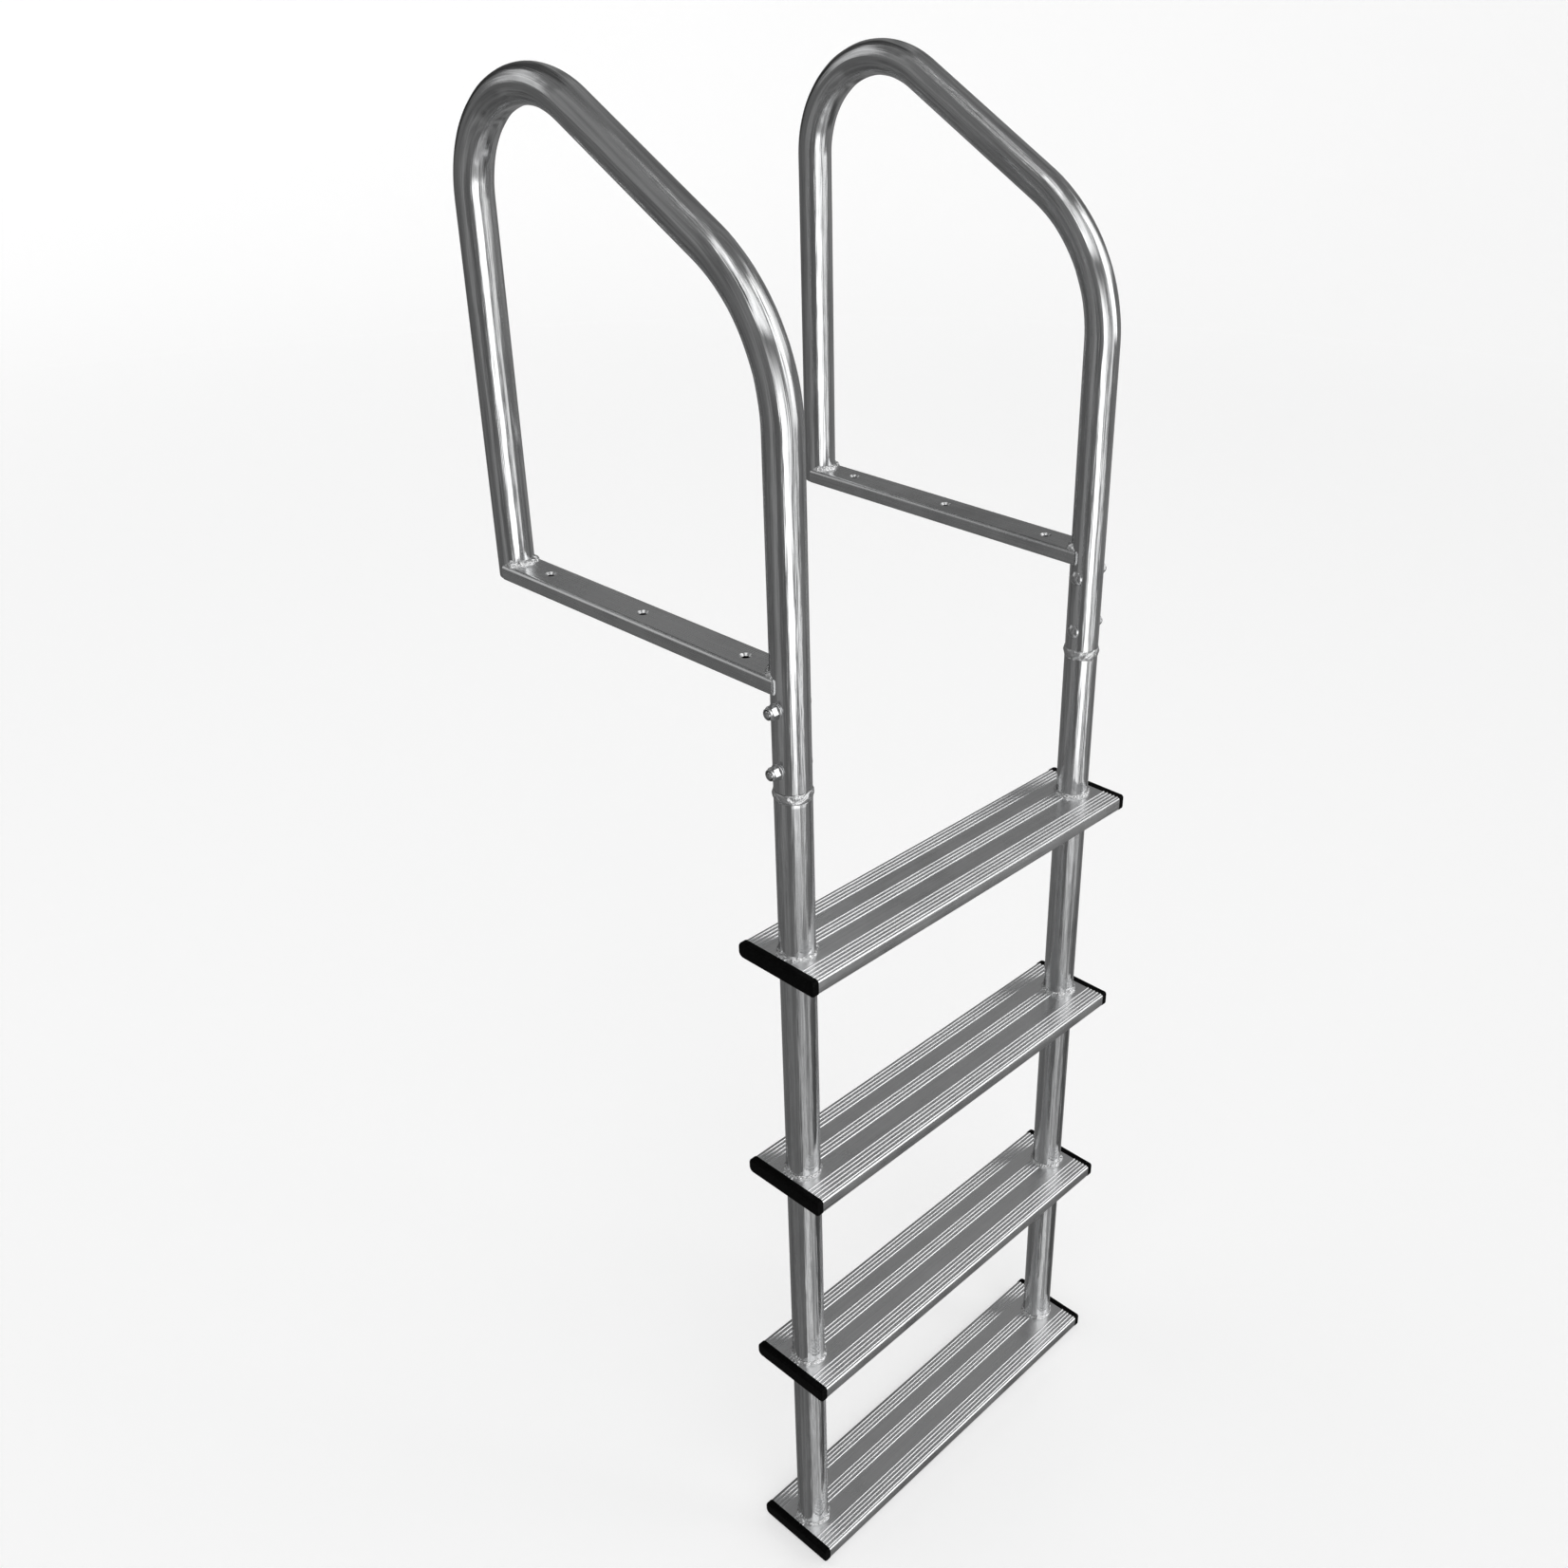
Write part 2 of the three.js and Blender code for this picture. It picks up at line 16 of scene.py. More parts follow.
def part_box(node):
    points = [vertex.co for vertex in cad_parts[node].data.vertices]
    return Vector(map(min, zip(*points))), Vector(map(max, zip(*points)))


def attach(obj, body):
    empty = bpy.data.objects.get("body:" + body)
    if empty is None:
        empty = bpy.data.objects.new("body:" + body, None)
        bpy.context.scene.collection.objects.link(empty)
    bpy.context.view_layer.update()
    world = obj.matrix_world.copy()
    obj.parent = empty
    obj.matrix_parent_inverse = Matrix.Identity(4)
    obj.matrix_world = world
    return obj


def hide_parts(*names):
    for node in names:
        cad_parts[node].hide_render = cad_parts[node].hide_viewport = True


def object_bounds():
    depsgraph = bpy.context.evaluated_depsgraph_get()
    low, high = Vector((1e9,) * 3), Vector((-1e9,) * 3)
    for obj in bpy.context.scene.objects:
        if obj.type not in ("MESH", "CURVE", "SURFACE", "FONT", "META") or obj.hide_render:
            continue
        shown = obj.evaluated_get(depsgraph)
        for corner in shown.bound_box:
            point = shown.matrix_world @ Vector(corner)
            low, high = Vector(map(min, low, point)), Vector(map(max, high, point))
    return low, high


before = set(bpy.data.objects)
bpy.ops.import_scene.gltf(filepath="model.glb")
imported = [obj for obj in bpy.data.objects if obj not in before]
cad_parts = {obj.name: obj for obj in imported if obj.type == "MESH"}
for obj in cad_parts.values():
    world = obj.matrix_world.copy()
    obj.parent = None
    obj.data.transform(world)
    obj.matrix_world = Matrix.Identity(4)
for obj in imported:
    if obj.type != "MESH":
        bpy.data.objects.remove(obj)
cad_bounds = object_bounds()

MM = 0.001
SIDES = {"left": -1, "right": 1}
TREADS = ("1", "2", "3", "4")
LEVELS = ("upper", "lower")

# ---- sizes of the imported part, and finer ones for edges, beads and threads ---------
TUBE_RADIUS = 20 * MM
TUBE_BORE = 17 * MM
HANDRAIL_DEPTH = 442 * MM
FRONT_CORNER_HEIGHT = 359 * MM
REAR_CORNER_HEIGHT = 599 * MM
FRONT_BEND_RADIUS = 176 * MM
REAR_BEND_RADIUS = 116 * MM
RIM_RADIUS = 0.9 * MM
HEEL_ROLL = 0.8 * MM  # how far the rear leg's foot is rolled in
RAIL_TOP_ROLL = 1.1 * MM
SLEEVE_WALL = 3 * MM
SLEEVE_EDGE = 0.5 * MM

TREAD_DEPTH = 113.5 * MM
TREAD_HEIGHT = 18.5 * MM
TREAD_WALL = 2.5 * MM
TREAD_BACK_RADIUS = 4.8 * MM
TREAD_FRONT_RADIUS = 2.6 * MM
WEB_OFFSET = 25 * MM
RIB_HEIGHT = 1.2 * MM  # half-round ribs
RIB_PITCH = 5.2 * MM
RIB_GROUPS = ((6 * MM, 4), (44.9 * MM, 4), (88.4 * MM, 5))
CELL_FILLET = 1.2 * MM

CAP_BACK_RADIUS = 7.3 * MM
CAP_FRONT_RADIUS = 4 * MM
CAP_EDGE_RADIUS = 2.8 * MM
CAP_LIP_RADIUS = 0.3 * MM
CAP_PLUG_CLEARANCE = 0.5 * MM
CAP_PLUG_BITE = 1 * MM  # how far a plug reaches into the flange
CAP_PLUG_RADIUS = 1 * MM
CAP_SIDE_PLUG = 14 * MM
CAP_MIDDLE_PLUG = 4 * MM

BRACKET_WIDTH = 45 * MM
BRACKET_HEIGHT = 18 * MM
BRACKET_WALL = 2.5 * MM
BRACKET_CORNER = 4.5 * MM
BRACKET_INNER_CORNER = 1.2 * MM
SCREW_RADIUS = 4.25 * MM
SCREW_FLARE = 2.6 * MM
SCREW_SPACING = 158 * MM

BRACKET_WELD_LEG = 5.5 * MM
BRACKET_WELD_SWEEP = (18, 162)  # degrees round the leg
TREAD_WELD_LEG = 3.2 * MM
SPLICE_LAP = 1.5 * MM  # about how far the splice bead laps over both tubes

BOLT_RADIUS = 4 * MM
BOLT_HOLE_RADIUS = 4.4 * MM
BOLT_HEAD_RADIUS = 8.25 * MM
BOLT_HEAD_HEIGHT = 4 * MM
THREAD_PITCH = 1.25 * MM
THREAD_DEPTH = 0.55 * MM
WASHER_RADIUS = 8.5 * MM
WASHER_THICKNESS = 1.6 * MM
NUT_ACROSS_FLATS = 13 * MM
NUT_HEX_HEIGHT = 7.8 * MM
NUT_COLLAR_HEIGHT = 2.2 * MM
NUT_COLLAR_RADIUS = 6.1 * MM
NUT_COLLAR_CROWN = 0.6 * MM
BOLT_STANDOUT = 1.6 * MM
SMALL_GAP = 0.1 * MM  # between a tube, a washer and a nut

TUBE_SIDES = 72
STEP_ANGLE = math.radians(3)  # turn per station round a bend


# ---- meshes ------------------------------------------------------------------------
def new_piece(name, verts, faces, sharp_degrees=30):
    """A mesh object from vertices and faces, smooth except along its sharp edges."""
    mesh = bpy.data.meshes.new(name)
    mesh.from_pydata([tuple(v) for v in verts], [], faces)
    mesh.update()
    mesh.validate()
    piece = bpy.data.objects.new(name, mesh)
    bpy.context.scene.collection.objects.link(piece)
    smooth(piece, sharp_degrees)
    return piece


def smooth(piece, sharp_degrees):
    piece.data.shade_smooth()
    piece.data.set_sharp_from_angle(angle=math.radians(sharp_degrees))


def give_vectors(piece, name, values):
    attribute = piece.data.attributes.new(name, "FLOAT_VECTOR", "POINT")
    attribute.data.foreach_set("vector", [c for v in values for c in v])


def ring_faces(rings, sides, closed):
    """Quads between equal rings; a closed sequence joins its last ring to its first."""
    faces = []
    for i in range(rings if closed else rings - 1):
        low, high = i * sides, (i + 1) % rings * sides
        for j in range(sides):
            k = (j + 1) % sides
            faces.append((low + j, low + k, high + k, high + j))
    return faces


def turned(name, profile, place, sides, shape=None, sharp_degrees=30):
    """Turns a (radius, height) profile about local Z. It starts and ends on the axis, or
    else closes on itself. shape(radius, height, angle) may move a point in or out."""
    verts, faces, rows = [], [], []
    for radius, height in profile:
        row = []
        for j in range(sides if radius > 0 else 1):
            angle = 2 * math.pi * j / sides
            r = shape(radius, height, angle) if shape and radius > 0 else radius
            row.append(len(verts))
            verts.append(place @ Vector((r * math.cos(angle), r * math.sin(angle), height)))
        rows.append(row)
    solid = profile[0][0] == 0
    for low, high in zip(rows, rows[1:] if solid else rows[1:] + rows[:1]):
        for j in range(sides):
            k = (j + 1) % sides
            if len(low) == 1:
                faces.append((low[0], high[k], high[j]))
            elif len(high) == 1:
                faces.append((low[j], low[k], high[0]))
            else:
                faces.append((low[j], low[k], high[k], high[j]))
    piece = new_piece(name, verts, faces, sharp_degrees)
    face_outward(piece)
    return piece


def prism(name, loops, at, low, high, sharp_degrees=25):
    """Extrudes flat loops, the outer one first and its holes after it, from low to high.
    at(a, b, t) gives the point at (a, b) of the outline and t along the length."""
    flat = [point for loop in loops for point in loop]
    count = len(flat)
    verts = [at(a, b, t) for t in (low, high) for a, b in flat]
    ends = tessellate_polygon([[Vector((a, b, 0)) for a, b in loop] for loop in loops])
    faces = [tuple(tri) for tri in ends] + [tuple(i + count for i in tri[::-1]) for tri in ends]
    start = 0
    for loop in loops:
        for j in range(len(loop)):
            k = (j + 1) % len(loop)
            faces.append((start + j, start + k, count + start + k, count + start + j))
        start += len(loop)
    piece = new_piece(name, verts, faces, sharp_degrees)
    face_outward(piece)
    return piece


def face_outward(piece):
    """Turns every face outward."""
    work = bmesh.new()
    work.from_mesh(piece.data)
    bmesh.ops.recalc_face_normals(work, faces=work.faces)
    work.to_mesh(piece.data)
    work.free()


def cut(piece, cutters, operation="DIFFERENCE", sharp_degrees=30):
    """Cuts other solids from a piece, or joins them to it, and removes them."""
    for other in cutters:
        step = piece.modifiers.new("cut", "BOOLEAN")
        step.operation = operation
        step.solver = "EXACT"
        step.object = other
    depsgraph = bpy.context.evaluated_depsgraph_get()
    result = bpy.data.meshes.new_from_object(piece.evaluated_get(depsgraph))
    piece.modifiers.clear()
    old, piece.data = piece.data, result
    bpy.data.meshes.remove(old)
    for other in cutters:
        bpy.data.objects.remove(other)
    smooth(piece, sharp_degrees)
    return piece


def cylinder(radius, length, place, sides=64):
    profile = [(0, -length / 2), (radius, -length / 2), (radius, length / 2), (0, length / 2)]
    return turned("cutter", profile, place, sides)


def arc(centre_a, centre_b, radius, start, end, steps):
    """Points of an arc, in degrees, anticlockwise."""
    angles = (math.radians(start + (end - start) * i / steps) for i in range(steps + 1))
    return [(centre_a + radius * math.cos(t), centre_b + radius * math.sin(t)) for t in angles]


# ---- tubes -------------------------------------------------------------------------
def bend(before, corner, after, radius):
    """Stations (point, tangent, how deep in the bend) round the bend at a corner."""
    inward = (corner - before).normalized()
    outward = (after - corner).normalized()
    turn = inward.angle(outward)
    start = corner - inward * radius * math.tan(turn / 2)
    side = (outward - inward * inward.dot(outward)).normalized()
    steps = round(turn / STEP_ANGLE)
    stations = []
    for i in range(steps + 1):
        angle = turn * i / steps
        point = start + inward * radius * math.sin(angle) + side * radius * (1 - math.cos(angle))
        tangent = inward * math.cos(angle) + side * math.sin(angle)
        stations.append((point, tangent, math.sin(math.pi * i / steps)))
    return stations


def straight(start, end, stops):
    """Stations on a straight run at given distances from its start."""
    along = (end - start).normalized()
    return [(start + along * stop, along, 0.0) for stop in stops]


def rim(station, sign, roll):
    """Rings, from outside to bore, round a tube end that faces along sign times its tangent."""
    point, tangent, _, _, distance = station
    reach = RIM_RADIUS + 2 * roll
    depth = min(reach, 0.8 * (TUBE_RADIUS - TUBE_BORE))
    chamfer = 0.5 * RIM_RADIUS
    section = [
        (TUBE_RADIUS - depth * (1 - b), -(1 - a) * reach) for b, a in arc(0, 0, 1, 0, 90, 5)
    ]
    section += [(TUBE_BORE + chamfer, 0.0), (TUBE_BORE, -chamfer)]
    return [(point + tangent * sign * h, tangent, r, 0.0, distance + sign * h) for r, h in section]


def tube(name, stations, x, rolls=(0.0, 0.0)):
    """A round tube in the plane of constant x, with rolled rims. rolls draws its ends in. In
    a bend the section flattens a little and its skin is slightly wavy, as in drawn tube."""
    flattening, widening, waviness = 0.045, 0.02, 0.02
    waves_round, waves_per_metre = 1.6, 45
    distance = 0.0
    outer = []  # centre, tangent, radius, depth in the bend, distance along
    for i, (point, tangent, depth) in enumerate(stations):
        if i:
            distance += (point - stations[i - 1][0]).length
        outer.append((point, tangent, TUBE_RADIUS, depth, distance))
    inner = [(p, t, TUBE_BORE, d, s) for p, t, _, d, s in reversed(outer)]
    start_rim, end_rim = rim(outer[0], -1, rolls[0]), rim(outer[-1], 1, rolls[1])
    rings = start_rim[::-1] + outer[1:-1] + end_rim + inner[1:-1]
    verts, lay = [], []
    for point, tangent, radius, depth, s in rings:
        across = Vector((1, 0, 0))
        inplane = tangent.cross(across).normalized()
        for j in range(TUBE_SIDES):
            angle = 2 * math.pi * j / TUBE_SIDES
            c, d = math.cos(angle), math.sin(angle)
            offset = across * c * (1 + widening * depth) + inplane * d * (1 - flattening * depth)
            where = Vector((waves_round * c + x, waves_round * d, waves_per_metre * s))
            wave = noise.noise(where) - 0.5
            offset *= 1 + waviness * depth * wave
            verts.append(Vector((x, 0, 0)) + point + offset * radius)
            lay.append((c * radius, d * radius, s))
    piece = new_piece(name, verts, ring_faces(len(rings), TUBE_SIDES, True))
    face_outward(piece)
    give_vectors(piece, "lay", lay)
    return piece


def bolt_height(side, level):
    low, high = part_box(f"bolt_{side}_{level}")
    return (low.z + high.z) / 2


def rail_x(side):
    low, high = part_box(f"side_rail_{side}")
    return (low.x + high.x) / 2


def keep_lay(piece, points, lay, origin):
    """Gives a drilled tube its lay again. Drilling adds points only on the upright run that
    starts at the origin."""
    same_point = 0.01 * MM
    known = KDTree(len(points))
    for i, point in enumerate(points):
        known.insert(point, i)
    known.balance()
    values = []
    for vertex in piece.data.vertices:
        _, i, gap = known.find(vertex.co)
        values.append(lay[i] if gap < same_point else vertex.co - origin)
    piece.data.attributes.remove(piece.data.attributes["lay"])
    give_vectors(piece, "lay", values)


def drill_bolt_holes(piece, side):
    """Cuts both bolts' cross holes through an upright tube."""
    turn = Matrix.Rotation(math.radians(90), 4, "Y")
    drills = []
    for level in LEVELS:
        place = Matrix.Translation((rail_x(side), 0, bolt_height(side, level))) @ turn
        drills.append(cylinder(BOLT_HOLE_RADIUS, 3 * TUBE_RADIUS, place, 32))
    return cut(piece, drills)


def stops_between(low, high, holes):
    """Distances for the stations of an upright run: its ends, and both sides of each hole."""
    clear, end = 7.6 * MM, 2 * MM
    stops = [low, low + end]
    for hole in sorted(holes):
        stops += [hole - clear, hole + clear]
    return stops + [high - end, high]


def handrail(side):
    low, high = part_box(f"handrail_{side}")
    foot = Vector((0, 0, low.z))
    front = Vector((0, 0, FRONT_CORNER_HEIGHT))
    rear = Vector((0, HANDRAIL_DEPTH, REAR_CORNER_HEIGHT))
    heel = Vector((0, HANDRAIL_DEPTH, 0))
    holes = [bolt_height(side, level) - low.z for level in LEVELS]
    past_holes, foot_length = 30 * MM, 5 * MM
    start = stops_between(0, max(holes) + past_holes, holes)
    front_bend = bend(foot, front, rear, FRONT_BEND_RADIUS)
    rear_bend = bend(front, rear, heel, REAR_BEND_RADIUS)
    leg = (heel - rear_bend[-1][0]).length
    stations = straight(foot, front, start)
    stations += front_bend + rear_bend
    stations += straight(rear_bend[-1][0], heel, [leg - foot_length, leg])
    piece = tube(f"handrail_tube_{side}", stations, rail_x(side), (0.0, HEEL_ROLL))
    points = [vertex.co.copy() for vertex in piece.data.vertices]
    lay = [tuple(value.vector) for value in piece.data.attributes["lay"].data]
    drill_bolt_holes(piece, side)
    keep_lay(piece, points, lay, Vector((rail_x(side), 0, low.z)))
    return piece


def side_rail(side):
    low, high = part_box(f"side_rail_{side}")
    top, bottom = Vector((0, 0, high.z)), Vector((0, 0, low.z))
    length = high.z - low.z
    head, foot = 6 * MM, 2 * MM
    stations = straight(top, bottom, [0, head, length / 2, length - foot, length])
    return tube(f"side_rail_tube_{side}", stations, rail_x(side), (RAIL_TOP_ROLL, 0.0))


def sleeve(side):
    low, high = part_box(f"splice_sleeve_{side}")
    outer = (high.x - low.x) / 2
    inner, edge = outer - SLEEVE_WALL, SLEEVE_EDGE
    profile = [
        (inner, low.z + edge),
        (inner + edge, low.z),
        (outer - edge, low.z),
        (outer, low.z + edge),
        (outer, high.z - edge),
        (outer - edge, high.z),
        (inner + edge, high.z),
        (inner, high.z - edge),
    ]
    place = Matrix.Translation((rail_x(side), 0, 0))
    piece = turned(f"splice_sleeve_tube_{side}", profile, place, TUBE_SIDES)
    return drill_bolt_holes(piece, side)


# ---- welds -------------------------------------------------------------------------
CRATER_AZIMUTHS = {"left": -108, "right": -138}  # where each splice bead's last pass stopped
SINK = 0.4 * MM  # how far a bead reaches into its tube


def ripple(phase, across):
    """Height, 0 to 1, of a bead's overlapping ripples, each bowed across the bead."""
    bow, rise, fullness = 0.45, 0.12, 0.6
    phase = (phase + bow * (1 - (2 * across - 1) ** 2)) % 1.0
    return (1 - phase) ** fullness if phase > rise else phase / rise


def round_noise(angle, across, per_metre, seed):
    """Noise that comes back to its start after a full turn round a tube."""
    reach = TUBE_RADIUS * per_metre
    return noise.noise(Vector((math.cos(angle) * reach, math.sin(angle) * reach, across + seed)))


def fillet_face(leg, lumps, angle, seed):
    """One cross-section of a fillet bead, from its toe on the flat to its toe on the tube."""
    steps, ripples = 9, 38
    swells_per_metre, grains_per_metre, grains_across = 110, 420, 3.1
    swell, least, rippled, grained = 0.3, 0.75, 0.4, 0.9
    bulge = 0.2 * leg * math.sqrt(0.5)
    size = leg * (1 + swell * lumps * round_noise(angle, 0, swells_per_metre, seed))
    phase = ripples * angle / (2 * math.pi)
    points = []
    for i in range(steps + 1):
        v = i / steps
        grain = round_noise(angle, grains_across * v, grains_per_metre, seed + 7)
        height = least + rippled * ripple(phase, v) + grained * lumps * grain
        height *= bulge * math.sin(math.pi * v)
        points.append((size * (1 - v) + height, size * v + height))
    return points


def fillet_bead(name, place, leg, seed, sweep=(0, 360), lumps=1.0, sunk=1.4 * MM):
    """A weld bead in the corner between a tube, upright on local Z, and the flat at z = 0."""
    inner, step = TUBE_RADIUS - SINK, 0.55 * MM
    end_size, growth = 0.3, 6
    start, end = (math.radians(a) for a in sweep)
    full = sweep[1] - sweep[0] >= 360
    steps = round((end - start) * inner / step)
    rings = steps if full else steps + 1
    verts = []
    for i in range(rings):
        angle = start + (end - start) * i / steps
        fade = 1.0 if full else min(1.0, end_size + growth * min(i, steps - i) / steps)
        face = fillet_face(leg * fade, lumps, angle, seed)
        section = [(0, -sunk), (face[0][0], -sunk), *face, (0, face[-1][1])]
        for out, up in section:
            r = inner + out
            verts.append(place @ Vector((r * math.cos(angle), r * math.sin(angle), up)))
    count = len(section)
    faces = ring_faces(rings, count, full)
    if not full:
        faces += [tuple(range(count))[::-1], tuple((rings - 1) * count + j for j in range(count))]
    piece = new_piece(name, verts, faces, sharp_degrees=50)
    face_outward(piece)
    return piece


def splice_bead(side, seed):
    """The lumpy bead that fills the groove between a handrail and its side rail, and laps over
    both. A slanting crater shows where its last pass stopped."""
    low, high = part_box(f"splice_bead_{side}")
    crater, crater_width, slant = math.radians(CRATER_AZIMUTHS[side]), 0.13, 0.9
    steps, face_steps, ripples = 260, 14, 26
    frays_per_metre, lumps_per_metre, lumps_across = 130, 200, 2.2
    least_lap, frayed, rippled, lumpy, fullness = 0.8, 2, 0.8, 2.4, 0.6
    least_rise, lumped, crater_depth = 0.75 * MM, 0.55 * MM, 0.9 * MM
    proud, sunk = 0.04 * MM, 0.3 * MM
    skin = TUBE_RADIUS + proud
    root = skin - sunk
    centre = Vector((rail_x(side), 0, 0))
    verts = []
    for i in range(steps):
        angle = 2 * math.pi * i / steps
        fray_high, fray_low = (round_noise(angle, k, frays_per_metre, seed) for k in (0, 5))
        edge_high = high.z + SPLICE_LAP * (least_lap + frayed * fray_high)
        edge_low = low.z - SPLICE_LAP * (least_lap + frayed * fray_low)
        section = [(TUBE_BORE, low.z), (TUBE_BORE, high.z), (root, high.z)]
        for k in range(face_steps + 1):
            v = k / face_steps
            lump = rippled * ripple(ripples * angle / (2 * math.pi), v)
            lump += lumpy * round_noise(angle, lumps_across * v, lumps_per_metre, seed + 3)
            away = (angle - crater + slant * (v - 0.5) + math.pi) % (2 * math.pi) - math.pi
            dip = math.exp(-((away / crater_width) ** 2))
            swell = math.sin(math.pi * v) ** fullness
            rise = (least_rise + lumped * lump) * (1 - dip) - crater_depth * dip
            radius = skin + swell * rise
            section.append((radius, edge_high + (edge_low - edge_high) * v))
        section.append((root, low.z))
        for radius, z in section:
            verts.append(centre + Vector((radius * math.cos(angle), radius * math.sin(angle), z)))
    faces = ring_faces(steps, len(section), True)
    piece = new_piece(f"splice_weld_{side}", verts, faces, sharp_degrees=50)
    face_outward(piece)
    return piece


# ---- deck bracket --------------------------------------------------------------------
def rounded_rectangle(width, height, radius, steps):
    x, z = width / 2 - radius, height / 2 - radius
    return (
        arc(x, -z, radius, -90, 0, steps)
        + arc(x, z, radius, 0, 90, steps)
        + arc(-x, z, radius, 90, 180, steps)
        + arc(-x, -z, radius, 180, 270, steps)
    )


def deck_bracket(side):
    low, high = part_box(f"deck_bracket_{side}")
    x, middle = rail_x(side), (low.z + high.z) / 2
    walls = 2 * BRACKET_WALL
    loops = [
        rounded_rectangle(BRACKET_WIDTH, BRACKET_HEIGHT, BRACKET_CORNER, 6),
        rounded_rectangle(BRACKET_WIDTH - walls, BRACKET_HEIGHT - walls, BRACKET_INNER_CORNER, 3),
    ]
    piece = prism(
        f"deck_bracket_bar_{side}",
        loops,
        lambda a, b, t: Vector((x + a, t, middle + b)),
        low.y,
        high.y,
    )
    cutters = [
        cylinder(TUBE_RADIUS, 4 * BRACKET_HEIGHT, Matrix.Translation((x, y, 0)), 96)
        for y in (0, HANDRAIL_DEPTH)
    ]
    past = 5 * MM
    for offset in (-SCREW_SPACING, 0, SCREW_SPACING):
        y = HANDRAIL_DEPTH / 2 + offset
        profile = [
            (0, low.z - past),
            (SCREW_RADIUS, low.z - past),
            (SCREW_RADIUS, high.z - SCREW_FLARE),
            (SCREW_RADIUS + SCREW_FLARE, high.z),
            (SCREW_RADIUS + SCREW_FLARE, high.z + past),
            (0, high.z + past),
        ]
        cutters.append(turned("cutter", profile, Matrix.Translation((x, y, 0)), 40))
    return cut(piece, cutters, sharp_degrees=25)


# ---- treads --------------------------------------------------------------------------
def tread_outline():
    """The tread's outer (y, z) outline, with z = 0 at the crests of its half-round ribs."""
    back, front = TREAD_DEPTH / 2, -TREAD_DEPTH / 2
    top, bottom = -RIB_HEIGHT, -TREAD_HEIGHT
    r, f = TREAD_BACK_RADIUS, TREAD_FRONT_RADIUS
    outline = arc(back - r, bottom + r, r, -90, 0, 6) + arc(back - r, top - r, r, 0, 90, 6)
    for start, count in RIB_GROUPS:
        for i in range(count):
            outline += arc(back - start - i * RIB_PITCH, top, RIB_HEIGHT, 0, 180, 12)
    outline += arc(front + f, top - f, f, 90, 180, 6)
    return outline + arc(front + f, bottom + f, f, 180, 270, 6)


def cell(low, high):
    floor, roof = TREAD_WALL - TREAD_HEIGHT, -RIB_HEIGHT - TREAD_WALL
    half = (high - low) / 2
    outline = rounded_rectangle(2 * half, roof - floor, CELL_FILLET, 3)
    return [(a + low + half, b + (roof + floor) / 2) for a, b in outline]


def tread_cells():
    edge, web = TREAD_DEPTH / 2 - TREAD_WALL, TREAD_WALL / 2
    return [
        cell(WEB_OFFSET + web, edge),
        cell(web - WEB_OFFSET, WEB_OFFSET - web),
        cell(-edge, -WEB_OFFSET - web),
    ]


def tread(name):
    low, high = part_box(f"tread_{name}")
    piece = prism(
        f"tread_extrusion_{name}",
        [tread_outline(), *tread_cells()],
        lambda a, b, t: Vector((t, a, high.z + b)),
        low.x,
        high.x,
        sharp_degrees=20,
    )
    holes = [
        cylinder(TUBE_RADIUS, 4 * TREAD_HEIGHT, Matrix.Translation((rail_x(side), 0, high.z)), 96)
        for side in SIDES
    ]
    return cut(piece, holes, sharp_degrees=20)


def cap_outline(inset, high, low):
    """The cap's rounded (y, z) outline between two corners, drawn in by an inset."""
    back_radius, front_radius = CAP_BACK_RADIUS - inset, CAP_FRONT_RADIUS - inset
    back, front = high.y - inset, low.y + inset
    top, bottom = high.z - inset, low.z + inset
    return (
        arc(back - back_radius, bottom + back_radius, back_radius, -90, 0, 8)
        + arc(back - back_radius, top - back_radius, back_radius, 0, 90, 8)
        + arc(front + front_radius, top - front_radius, front_radius, 90, 180, 8)
        + arc(front + front_radius, bottom + front_radius, front_radius, 180, 270, 8)
    )


def cap_plugs(root, outward, top):
    """A plug for each of the tread's cells, from inside the tread into the flange."""
    plugs = []
    for outline, length in zip(tread_cells(), (CAP_SIDE_PLUG, CAP_MIDDLE_PLUG, CAP_SIDE_PLUG)):
        middle = sum(y for y, _ in outline) / len(outline)
        half = max(y for y, _ in outline) - middle - CAP_PLUG_CLEARANCE
        centre = (max(z for _, z in outline) + min(z for _, z in outline)) / 2
        rise = max(z for _, z in outline) - centre - CAP_PLUG_CLEARANCE
        plug = rounded_rectangle(2 * half, 2 * rise, CAP_PLUG_RADIUS, 2)
        span = sorted((root - outward * length, root + outward * CAP_PLUG_BITE))
        plugs.append(
            prism(
                "plug",
                [[(a + middle, b + centre + top) for a, b in plug]],
                lambda a, b, t: Vector((t, a, b)),
                *span,
            )
        )
    return plugs


